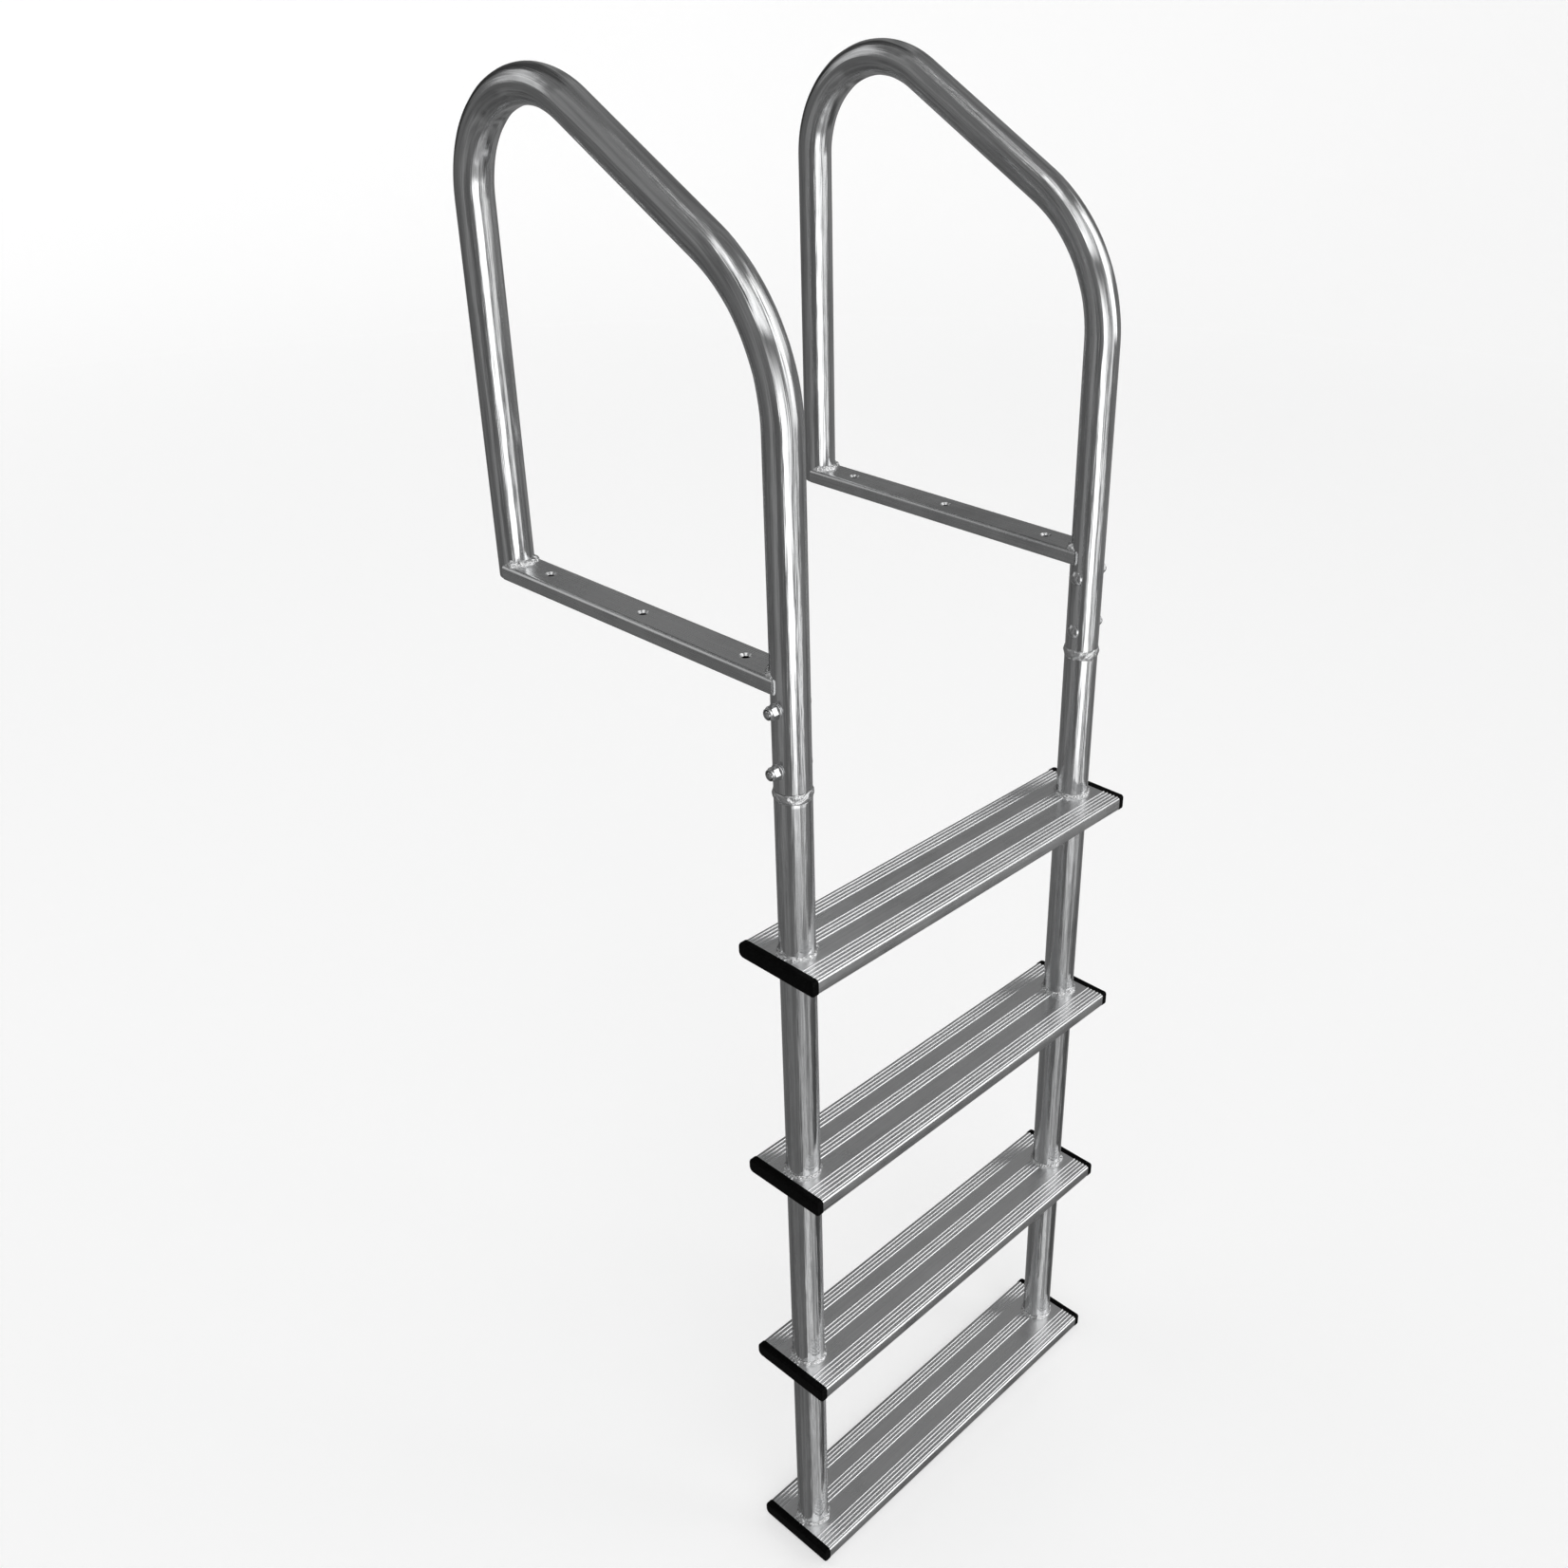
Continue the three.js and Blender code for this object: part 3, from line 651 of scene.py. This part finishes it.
def end_cap(name, side):
    """A moulded cap: a flange with softened edges and a plug in each of the tread's cells."""
    outward = SIDES[side]
    low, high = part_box(f"end_cap_{name}_{side}")
    tread_low, tread_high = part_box(f"tread_{name}")
    root = tread_high.x if outward > 0 else tread_low.x
    face = high.x if outward > 0 else low.x
    soft, lip = CAP_EDGE_RADIUS, CAP_LIP_RADIUS
    rings = [(root, lip), (root + outward * lip, 0)]
    for a, b in arc(0, 0, soft, 0, 90, 10):
        rings.append((face - outward * (soft - b), soft - a))
    verts = []
    for x, inset in rings:
        verts += [Vector((x, y, z)) for y, z in cap_outline(inset, high, low)]
    count = len(verts) // len(rings)
    faces = ring_faces(len(rings), count, False)
    last = (len(rings) - 1) * count
    faces += [tuple(range(count)), tuple(last + j for j in range(count))]
    piece = new_piece(f"end_cap_moulding_{name}_{side}", verts, faces, sharp_degrees=40)
    face_outward(piece)
    return cut(piece, cap_plugs(root, outward, tread_high.z), "UNION", sharp_degrees=40)


# ---- fixings -------------------------------------------------------------------------
def fixing_place(side, level):
    """Local Z points out of the tube along X, from the tube's axis."""
    turn = Matrix.Rotation(math.radians(90 * SIDES[side]), 4, "Y")
    return Matrix.Translation((rail_x(side), 0, bolt_height(side, level))) @ turn


SEAT = TUBE_RADIUS + SMALL_GAP
NUT_START = SEAT + WASHER_THICKNESS + SMALL_GAP
COLLAR_START = NUT_START + NUT_HEX_HEIGHT
NUT_END = COLLAR_START + NUT_COLLAR_HEIGHT
THREAD_START = NUT_END - 3 * MM


def thread(radius, height, angle):
    """Cuts a screw thread into the shank near the bolt's tip. The dome stays smooth."""
    if height < THREAD_START or radius < BOLT_RADIUS * 0.9:
        return radius
    phase = (height / THREAD_PITCH + angle / (2 * math.pi)) % 1.0
    return radius - THREAD_DEPTH * abs(2 * phase - 1)


def bolt_head():
    """Profile of the low domed head, from its crown to its seat on the tube."""
    rise = 2 * math.atan(BOLT_HEAD_HEIGHT / BOLT_HEAD_RADIUS)
    dome = BOLT_HEAD_RADIUS / math.sin(rise)
    steps, rim_height, edge, fullness = 14, 0.4 * MM, 0.15 * MM, 0.9
    profile = []
    for i in range(steps + 1):
        angle = rise * i / steps
        height = dome * (math.cos(angle) - math.cos(rise))
        profile.append((dome * math.sin(angle), -SEAT - rim_height - height * fullness))
    return profile + [(BOLT_HEAD_RADIUS, -SEAT - edge), (BOLT_HEAD_RADIUS - edge, -SEAT)]


def bolt_tip():
    """Profile of the threaded end, with a chamfer and a slightly domed tip."""
    tip, thread_step = NUT_END + BOLT_STANDOUT, 0.16 * MM
    chamfer_length, radius, rise, dome_steps = 1.1 * MM, 3.3 * MM, 0.7 * MM, 6
    steps = round((tip - THREAD_START) / thread_step)
    profile = []
    for i in range(steps + 1):
        height = THREAD_START + (tip - THREAD_START) * i / steps
        chamfer = max(0.0, height - (tip - chamfer_length))
        if height <= tip - rise:
            profile.append((BOLT_RADIUS - chamfer, height))
    dome = (radius**2 + rise**2) / (2 * rise)
    for i in range(dome_steps + 1):
        angle = math.asin(radius / dome) * (1 - i / dome_steps)
        profile.append((dome * math.sin(angle), tip - dome * (1 - math.cos(angle))))
    return profile


def bolt(side, level):
    profile = [*bolt_head(), (BOLT_RADIUS, -SEAT), (BOLT_RADIUS, 0), *bolt_tip()]
    place = fixing_place(side, level)
    return turned(f"bolt_dome_{side}_{level}", profile, place, 48, thread, sharp_degrees=40)


def washer(side, level):
    edge = 0.25 * MM
    low, high = SEAT, SEAT + WASHER_THICKNESS
    inner, outer = BOLT_HOLE_RADIUS, WASHER_RADIUS
    profile = [
        (inner, low),
        (outer - edge, low),
        (outer, low + edge),
        (outer, high - edge),
        (outer - edge, high),
        (inner + edge, high),
        (inner, high - edge),
    ]
    place = fixing_place(side, level)
    return turned(f"washer_disc_{side}_{level}", profile, place, 64, sharp_degrees=50)


def nut(side, level):
    """A lock nut: a hexagon chamfered at both ends, and a collar rolled over its insert."""
    corner = NUT_ACROSS_FLATS / math.sqrt(3)
    flat = NUT_ACROSS_FLATS / 2
    chamfer_start, chamfer_slope, steps = flat * 0.97, math.tan(math.radians(30)), 5
    chamfer = []
    for i in range(steps + 1):
        radius = chamfer_start + (corner - chamfer_start) * i / steps
        chamfer.append((radius, (radius - chamfer_start) * chamfer_slope))
    outer, crown, foot = NUT_COLLAR_RADIUS, NUT_COLLAR_CROWN, 0.1 * MM
    lip, lip_fall, bore, bore_fall = 4.9 * MM, 0.2 * MM, 5.2 * MM, 0.7 * MM
    profile = [(BOLT_RADIUS, NUT_START)]
    profile += [(radius, NUT_START + height) for radius, height in chamfer]
    profile += [(radius, COLLAR_START - height) for radius, height in reversed(chamfer)]
    profile.append((outer, COLLAR_START + foot))
    profile += [(outer - crown + a, NUT_END - crown + b) for a, b in arc(0, 0, crown, 0, 90, 6)]
    profile += [(lip, NUT_END - lip_fall), (bore, NUT_END - bore_fall), (bore, COLLAR_START)]
    profile.append((BOLT_RADIUS, COLLAR_START))

    def hexagon(radius, height, angle):
        turn = (angle + math.pi / 6) % (math.pi / 3) - math.pi / 6
        return min(radius, flat / math.cos(turn)) if height <= COLLAR_START else radius

    place = fixing_place(side, level)
    return turned(f"lock_nut_hex_{side}_{level}", profile, place, 96, hexagon, sharp_degrees=35)


def insert(side, level):
    """The nylon ring inside the nut's collar."""
    inner, outer, chamfer = 3.75 * MM, 4.95 * MM, (0.5 * MM, 0.3 * MM)
    above_hexagon, below_rim = 0.3 * MM, 0.75 * MM
    low, high = COLLAR_START + above_hexagon, NUT_END - below_rim
    profile = [(inner, low), (outer, low), (outer, high)]
    profile += [(inner + chamfer[0], high), (inner, high - chamfer[1])]
    place = fixing_place(side, level)
    return turned(f"nylon_ring_{side}_{level}", profile, place, 48, sharp_degrees=50)


# ---- materials -----------------------------------------------------------------------
class Nodes:
    """Builds the node tree of a material or a world."""

    def __init__(self, owner, kind="BSDF_PRINCIPLED"):
        self.owner = owner
        owner.use_nodes = True
        self.tree = owner.node_tree
        self.shader = next(n for n in self.tree.nodes if n.type == kind)

    def add(self, kind, **settings):
        node = self.tree.nodes.new(kind)
        for key, value in settings.items():
            setattr(node, key, value)
        return node

    def link(self, output, target):
        self.tree.links.new(output, target)

    def place(self, scale, attribute=None):
        """Coordinates stretched by a scale: the object's own, or a stored attribute's."""
        mapping = self.add("ShaderNodeMapping")
        mapping.inputs["Scale"].default_value = scale
        if attribute:
            source = self.add("ShaderNodeAttribute", attribute_name=attribute)
            self.link(source.outputs["Vector"], mapping.inputs["Vector"])
        else:
            source = self.add("ShaderNodeTexCoord")
            self.link(source.outputs["Object"], mapping.inputs["Vector"])
        return mapping.outputs["Vector"]

    def noise(self, where, scale=1.0, detail=3.0, roughness=0.55):
        node = self.add("ShaderNodeTexNoise")
        node.inputs["Scale"].default_value = scale
        node.inputs["Detail"].default_value = detail
        node.inputs["Roughness"].default_value = roughness
        self.link(where, node.inputs["Vector"])
        return node.outputs["Fac"]

    def span(self, value, low, high, start=0.3, end=0.7, shape="LINEAR"):
        """Maps start..end to low..high."""
        node = self.add("ShaderNodeMapRange", interpolation_type=shape)
        names = ("From Min", "From Max", "To Min", "To Max")
        for name, number in zip(names, (start, end, low, high)):
            node.inputs[name].default_value = number
        self.link(value, node.inputs["Value"])
        return node.outputs["Result"]

    def math(self, operation, a, b):
        node = self.add("ShaderNodeMath", operation=operation)
        for socket, value in zip(node.inputs, (a, b)):
            if isinstance(value, (int, float)):
                socket.default_value = value
            else:
                self.link(value, socket)
        return node.outputs["Value"]

    def weigh(self, *parts):
        """Sum of values times their weights."""
        total = None
        for value, weight in parts:
            part = self.math("MULTIPLY", value, weight)
            total = part if total is None else self.math("ADD", total, part)
        return total

    def ramp(self, value, *stops):
        """Colours along a value, each stop being (position, grey or (r, g, b))."""
        node = self.add("ShaderNodeValToRGB")
        elements = node.color_ramp.elements
        while len(elements) < len(stops):
            elements.new(0.5)
        for element, (position, colour) in zip(elements, stops):
            rgb = colour if isinstance(colour, tuple) else (colour, colour, colour)
            element.position = position
            element.color = (*rgb, 1)
        self.link(value, node.inputs["Fac"])
        return node.outputs["Color"]

    def bump(self, height, distance, strength=1.0, onto=None):
        node = self.add("ShaderNodeBump")
        node.inputs["Strength"].default_value = strength
        node.inputs["Distance"].default_value = distance
        self.link(height, node.inputs["Height"])
        if onto:
            self.link(onto, node.inputs["Normal"])
        return node.outputs["Normal"]

    def finish(self, colour, roughness, normal, metallic=1.0):
        self.shader.inputs["Metallic"].default_value = metallic
        self.link(colour, self.shader.inputs["Base Color"])
        self.link(roughness, self.shader.inputs["Roughness"])
        self.link(normal, self.shader.inputs["Normal"])
        return self.owner


def material(name):
    return Nodes(bpy.data.materials.new(name))


def polished_tube():
    """Polished drawn tube: fine lines and long waves along it, soft smears and a fine grain."""
    n = material("polished_tube")
    lines = n.noise(n.place((330, 330, 4), "lay"), detail=4, roughness=0.6)
    broad = n.noise(n.place((95, 95, 9), "lay"), detail=2)
    smears = n.noise(n.place((60, 60, 14), "lay"), detail=3)
    grain = n.noise(n.place((2600, 2600, 900), "lay"), detail=2)
    tone = n.weigh((lines, 0.6), (broad, 0.4))
    colour = n.ramp(tone, (0.36, (0.55, 0.555, 0.56)), (0.6, (0.74, 0.745, 0.75)))
    roughness = n.math("ADD", n.span(lines, 0.05, 0.12), n.span(smears, 0.0, 0.06))
    normal = n.bump(lines, 0.35 * MM)
    normal = n.bump(broad, 0.9 * MM, 1.0, normal)
    normal = n.bump(grain, 0.006 * MM, 0.5, normal)
    return n.finish(colour, roughness, normal)


def extrusion(name, stretch, dark, light, matt):
    """Mill-finish extrusion: die lines along the length, a fine grain and cloudy patches."""
    n = material(name)
    lines = n.noise(n.place(stretch), detail=4, roughness=0.65)
    clouds = n.noise(n.place((22, 22, 22)), detail=3)
    grain = n.noise(n.place((1500, 1500, 1500)), detail=2)
    tone = n.weigh((lines, 0.5), (clouds, 0.3), (grain, 0.2))
    colour = n.ramp(tone, (0.36, dark), (0.64, light))
    roughness = n.math("ADD", n.span(lines, matt - 0.05, matt + 0.04), n.span(clouds, 0, 0.08))
    normal = n.bump(lines, 0.03 * MM, 0.6)
    normal = n.bump(grain, 0.02 * MM, 0.6, normal)
    return n.finish(colour, roughness, normal)


def weld_metal():
    """Bright weld metal with fine lumps, pits and a little grey oxide between the lumps."""
    n = material("weld_metal")
    lumps = n.noise(n.place((420, 420, 420)), detail=4, roughness=0.6)
    pits = n.noise(n.place((1500, 1500, 1500)), detail=3)
    colour = n.ramp(lumps, (0.34, (0.62, 0.625, 0.63)), (0.56, (0.92, 0.925, 0.93)))
    roughness = n.math("ADD", n.span(lumps, 0.24, 0.12), n.span(pits, 0.0, 0.08))
    normal = n.bump(lumps, 0.9 * MM, 1.0)
    normal = n.bump(pits, 0.08 * MM, 0.5, normal)
    return n.finish(colour, roughness, normal)


def stainless_fixings():
    """Bright stainless steel with faint turning marks."""
    n = material("stainless_fixings")
    marks = n.noise(n.place((2600, 500, 500)), detail=3)
    wear = n.noise(n.place((260, 260, 260)), detail=3)
    colour = n.ramp(wear, (0.35, (0.6, 0.605, 0.61)), (0.65, (0.78, 0.785, 0.79)))
    roughness = n.math("ADD", n.span(marks, 0.12, 0.24), n.span(wear, 0.0, 0.08))
    normal = n.bump(marks, 0.03 * MM, 0.6)
    return n.finish(colour, roughness, normal)


def moulded_plastic(name, dark, light, matt):
    """Moulded plastic with a fine spark-eroded grain and faint scuffs."""
    n = material(name)
    grain = n.noise(n.place((1400, 1400, 1400)), detail=2)
    scuffs = n.noise(n.place((90, 260, 260)), detail=4, roughness=0.7)
    colour = n.ramp(scuffs, (0.45, dark), (0.75, light))
    roughness = n.math("ADD", n.span(grain, matt - 0.05, matt + 0.06), n.span(scuffs, 0.04, -0.06))
    normal = n.bump(grain, 0.04 * MM, 0.5)
    n.shader.inputs["Specular IOR Level"].default_value = 0.06
    return n.finish(colour, roughness, normal, 0.0)


MATERIALS = {
    "polished_tube": polished_tube(),
    "bracket_extrusion": extrusion(
        "bracket_extrusion", (900, 6, 900), (0.6, 0.605, 0.61), (0.82, 0.825, 0.83), 0.24
    ),
    "tread_extrusion": extrusion(
        "tread_extrusion", (5, 900, 900), (0.72, 0.725, 0.73), (0.94, 0.945, 0.95), 0.28
    ),
    "weld_metal": weld_metal(),
    "stainless_fixings": stainless_fixings(),
    "black_plastic": moulded_plastic("black_plastic", 0.0008, 0.003, 0.5),
    "nylon_insert": moulded_plastic("nylon_insert", 0.01, 0.03, 0.45),
}


# ---- assembly ------------------------------------------------------------------------
def fit(piece, node, slot):
    """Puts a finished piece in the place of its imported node."""
    piece.data.materials.clear()
    piece.data.materials.append(MATERIALS[slot])
    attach(piece, "root")
    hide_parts(node)


def build_side(side, seeds):
    x = rail_x(side)
    fit(handrail(side), f"handrail_{side}", "polished_tube")
    fit(side_rail(side), f"side_rail_{side}", "polished_tube")
    fit(sleeve(side), f"splice_sleeve_{side}", "polished_tube")
    fit(splice_bead(side, seeds.uniform(0, 90)), f"splice_bead_{side}", "weld_metal")
    fit(deck_bracket(side), f"deck_bracket_{side}", "bracket_extrusion")
    for end, y, turn in (("front", 0, 0), ("rear", HANDRAIL_DEPTH, 180)):
        place = Matrix.Translation((x, y, BRACKET_HEIGHT))
        place = place @ Matrix.Rotation(math.radians(turn), 4, "Z")
        bead = fillet_bead(
            f"bracket_bead_{side}_{end}",
            place,
            BRACKET_WELD_LEG,
            seeds.uniform(0, 90),
            sweep=BRACKET_WELD_SWEEP,
            lumps=1.6,
            sunk=0.6 * MM,
        )
        fit(bead, f"bracket_weld_{side}_{end}", "weld_metal")
    for level in LEVELS:
        fit(bolt(side, level), f"bolt_{side}_{level}", "stainless_fixings")
        fit(washer(side, level), f"washer_{side}_{level}", "stainless_fixings")
        fit(nut(side, level), f"lock_nut_{side}_{level}", "stainless_fixings")
        fit(insert(side, level), f"nut_insert_{side}_{level}", "nylon_insert")


def build_tread(name, seeds):
    fit(tread(name), f"tread_{name}", "tread_extrusion")
    low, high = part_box(f"tread_{name}")
    for side in SIDES:
        cap = end_cap(name, side)
        cap.visible_glossy = False  # keeps its black out of the polished rail beside it
        fit(cap, f"end_cap_{name}_{side}", "black_plastic")
        above = Matrix.Translation((rail_x(side), 0, high.z))
        below = Matrix.Translation((rail_x(side), 0, low.z)) @ Matrix.Rotation(math.pi, 4, "X")
        for where, place, sunk in (("top", above, 1.4 * MM), ("under", below, 0.2 * MM)):
            seed = seeds.uniform(0, 90)
            title = f"tread_bead_{name}_{side}_{where}"
            bead = fillet_bead(title, place, TREAD_WELD_LEG, seed, lumps=2.2, sunk=sunk)
            fit(bead, f"tread_weld_{name}_{side}_{where}", "weld_metal")


# ---- stage, light and camera -----------------------------------------------------------
FLOOR_GAP = 0.3 * MM  # below the lowest point
FLOOR_GLOW = 0.5
LADDER_MIDDLE = Vector((0, 0.1, -0.35))
# Azimuth and elevation of each light, in degrees
LIGHTS = {"key_light": (-110, 50), "fill_light": (20, 55), "top_light": (130, 55)}
LIGHT_DISTANCE = 4.5
LIGHT_SIZE = 2.6
LIGHT_WATTS = 20

# Grey of the studio's walls by azimuth, in degrees from +X
WALLS = (
    (-180, 0.19),
    (-168, 0.15),
    (-148, 0.14),
    (-140, 0.24),
    (-60, 0.24),
    (-45, 0.18),
    (10, 0.2),
    (60, 0.18),
    (92, 0.14),
    (132, 0.14),
    (150, 0.2),
    (180, 0.19),
)
CEILING = 0.2
# Soft panels: azimuths, elevations, half the width of the soft edges and of the upper edge,
# all in degrees, and brightness. A panel below nought darkens.
PANELS = (
    ((-137, -95), (-120, 14), 5, 16, 0.18),
    ((-134, -106), (-49, -43), 4, 2, 0.4),
    ((-133, -99), (-28.5, 12), 4, 17, 1.45),
    ((-81, -64), (-120, 26), 4, 10, 0.2),
    ((-80, -66), (-29, 12), 3, 14, 0.8),
    ((-64, -47), (-8, 58), 4, 4, 2.2),
    ((-46, -12), (13, 50), 5, 5, 0.9),
    ((-62, -15), (-70, -34), 5, 5, -0.1),
    ((98, 126), (24, 40), 4, 4, 0.3),
    ((112, 135), (7, 36), 3, 6, 0.45),
    ((-135, -88), (36, 60), 5, 6, 1.3),
    ((-178, -128), (58, 76), 6, 6, 1.2),
    ((58, 100), (30, 74), 5, 5, -0.13),
    ((62, 95), (-5, 30), 5, 5, -0.13),
)
# The lamps overhead run along Y. Their places are x over height, and their span y over height
LAMP_OFFSETS = (-0.5, -0.14)
LAMP_HALF_WIDTH = 0.035
LAMP_SPAN = (-0.6, 0.17)
LAMP_SIDE_FADE = 0.03
LAMP_END_FADE = 0.05
LAMP_BRIGHTNESS = 0.9
FOLDS_PER_RADIAN = 6.0
FOLD_LEAN = 0.025  # change in the folds per degree of elevation
FOLD_CONTRAST = (0.45, 1.55)
DIMMEST = 0.03
OVERHEAD = (5, 30)  # elevations over which the walls turn into the ceiling
HORIZON = 0.05  # least height that a direction's run is divided by

CAMERA_PLACE = Vector((-1.2133, -1.0295, 0.6743))
CAMERA_AIM = Vector((0.0367, 0.0635, -0.2493))
CAMERA_ROLL = math.radians(1.06)
CAMERA_LENS = 36.73
CAMERA_SHIFT = (-0.0914, 0.0048)


def build_stage(floor_height):
    """A pale round floor that curves up into a wall, metres away from the ladder."""
    floor_radius, cove, wall = 7.0, 2.5, 4.0
    sides = 96
    profile = [(floor_radius, 0)]
    profile += [(floor_radius + a, cove + b) for a, b in arc(0, 0, cove, -90, 0, 12)]
    profile += [(floor_radius + cove, cove + wall)]
    verts = []
    for radius, height in profile:
        for j in range(sides):
            angle = 2 * math.pi * j / sides
            verts.append(Vector((radius * math.cos(angle), radius * math.sin(angle), height)))
    faces = [tuple(range(sides)), *ring_faces(len(profile), sides, False)]
    stage = new_piece("studio_floor", [v + Vector((0, 0, floor_height)) for v in verts], faces)
    n = material("studio_floor")
    cloth = n.noise(n.place((500, 500, 500)), detail=2)
    grain = n.bump(n.noise(n.place((240, 240, 240))), 0.1 * MM, 0.2)
    stage.data.materials.append(
        n.finish(n.span(cloth, 0.5, 0.52), n.span(cloth, 0.85, 0.95), grain, 0.0)
    )
    n.shader.inputs["Specular IOR Level"].default_value = 0
    n.shader.inputs["Emission Color"].default_value = (1, 1, 1, 1)
    n.shader.inputs["Emission Strength"].default_value = FLOOR_GLOW
    stage.visible_glossy = False
    stage.visible_shadow = False


def softbox(name, azimuth, elevation):
    """A square light facing the ladder's middle. Metal doesn't show it."""
    a, e = math.radians(azimuth), math.radians(elevation)
    away = Vector((math.cos(e) * math.cos(a), math.cos(e) * math.sin(a), math.sin(e)))
    light = bpy.data.lights.new(name, "AREA")
    light.shape = "RECTANGLE"
    light.size = light.size_y = LIGHT_SIZE
    light.energy = LIGHT_WATTS
    lamp = bpy.data.objects.new(name, light)
    lamp.location = LADDER_MIDDLE + away * LIGHT_DISTANCE
    lamp.rotation_euler = away.to_track_quat("Z", "Y").to_euler()
    lamp.visible_glossy = False
    bpy.context.scene.collection.objects.link(lamp)


def window(n, value, low, high, soft, fade):
    """One between low and high and nothing outside, with soft edges of their own widths."""
    rise = n.span(value, 0, 1, low - soft, low + soft, "SMOOTHSTEP")
    fall = n.span(value, 1, 0, high - fade, high + fade, "SMOOTHSTEP")
    return n.math("MULTIPLY", rise, fall)


def folds(n, x, y, elevation):
    """Uneven light, from about a half to one and a half, in upright folds all round."""
    level = n.math("SQRT", n.math("ADD", n.math("MULTIPLY", x, x), n.math("MULTIPLY", y, y)), 0.0)
    where = n.add("ShaderNodeCombineXYZ")
    reach = n.math("DIVIDE", FOLDS_PER_RADIAN, n.math("MAXIMUM", level, 0.001))
    n.link(n.math("MULTIPLY", x, reach), where.inputs["X"])
    n.link(n.math("MULTIPLY", y, reach), where.inputs["Y"])
    n.link(n.math("MULTIPLY", elevation, FOLD_LEAN), where.inputs["Z"])
    return n.span(n.noise(where.outputs["Vector"], detail=3), *FOLD_CONTRAST)


def build_world():
    """A dim studio that shows only in reflections: grey walls, soft panels, some of which
    are dark flags, and long lamps overhead."""
    n = Nodes(bpy.data.worlds.new("studio"), "BACKGROUND")
    bpy.context.scene.world = n.owner
    split = n.add("ShaderNodeSeparateXYZ")
    n.link(n.add("ShaderNodeTexCoord").outputs["Generated"], split.inputs["Vector"])
    x, y, z = (split.outputs[axis] for axis in "XYZ")
    degrees = math.degrees(1)
    azimuth = n.math("MULTIPLY", n.math("ARCTAN2", y, x), degrees)
    elevation = n.math("MULTIPLY", n.math("ARCSINE", z, 0.0), degrees)
    walls = n.ramp(n.span(azimuth, 0, 1, -180, 180), *(((a + 180) / 360, g) for a, g in WALLS))
    overhead = n.span(elevation, 0, 1, *OVERHEAD, "SMOOTHSTEP")
    mix = n.add("ShaderNodeMix", data_type="FLOAT")
    n.link(overhead, mix.inputs[0])
    n.link(walls, mix.inputs[2])
    mix.inputs[3].default_value = CEILING
    radiance = mix.outputs[0]
    for around, up, soft, fade, brightness in PANELS:
        across = window(n, azimuth, *around, soft, soft)
        panel = n.math("MULTIPLY", across, window(n, elevation, *up, soft, fade))
        radiance = n.math("ADD", radiance, n.math("MULTIPLY", panel, brightness))
    height = n.math("MAXIMUM", z, HORIZON)
    sideways, forward = n.math("DIVIDE", x, height), n.math("DIVIDE", y, height)
    length = window(n, forward, *LAMP_SPAN, LAMP_END_FADE, LAMP_END_FADE)
    length = n.math("MULTIPLY", length, LAMP_BRIGHTNESS)
    for offset in LAMP_OFFSETS:
        edges = offset - LAMP_HALF_WIDTH, offset + LAMP_HALF_WIDTH
        lamp = window(n, sideways, *edges, LAMP_SIDE_FADE, LAMP_SIDE_FADE)
        radiance = n.math("ADD", radiance, n.math("MULTIPLY", lamp, length))
    radiance = n.math("MULTIPLY", radiance, folds(n, x, y, elevation))
    n.link(n.math("MAXIMUM", radiance, DIMMEST), n.shader.inputs["Color"])


def build_camera():
    data = bpy.data.cameras.new("camera")
    data.sensor_width = 36
    data.lens = CAMERA_LENS
    data.shift_x, data.shift_y = CAMERA_SHIFT
    data.dof.use_dof = False
    data.clip_end = 60
    camera = bpy.data.objects.new("camera", data)
    aim = (CAMERA_AIM - CAMERA_PLACE).to_track_quat("-Z", "Y").to_matrix().to_4x4()
    roll = Matrix.Rotation(CAMERA_ROLL, 4, "Z")
    camera.matrix_world = Matrix.Translation(CAMERA_PLACE) @ aim @ roll
    bpy.context.scene.collection.objects.link(camera)
    bpy.context.scene.camera = camera


seeds = random.Random(41)
for side in SIDES:
    build_side(side, seeds)
for name in TREADS:
    build_tread(name, seeds)
build_stage(cad_bounds[0].z - FLOOR_GAP)
build_world()
for title, (azimuth, elevation) in LIGHTS.items():
    softbox(title, azimuth, elevation)
build_camera()
bpy.context.scene.view_settings.view_transform = "Standard"
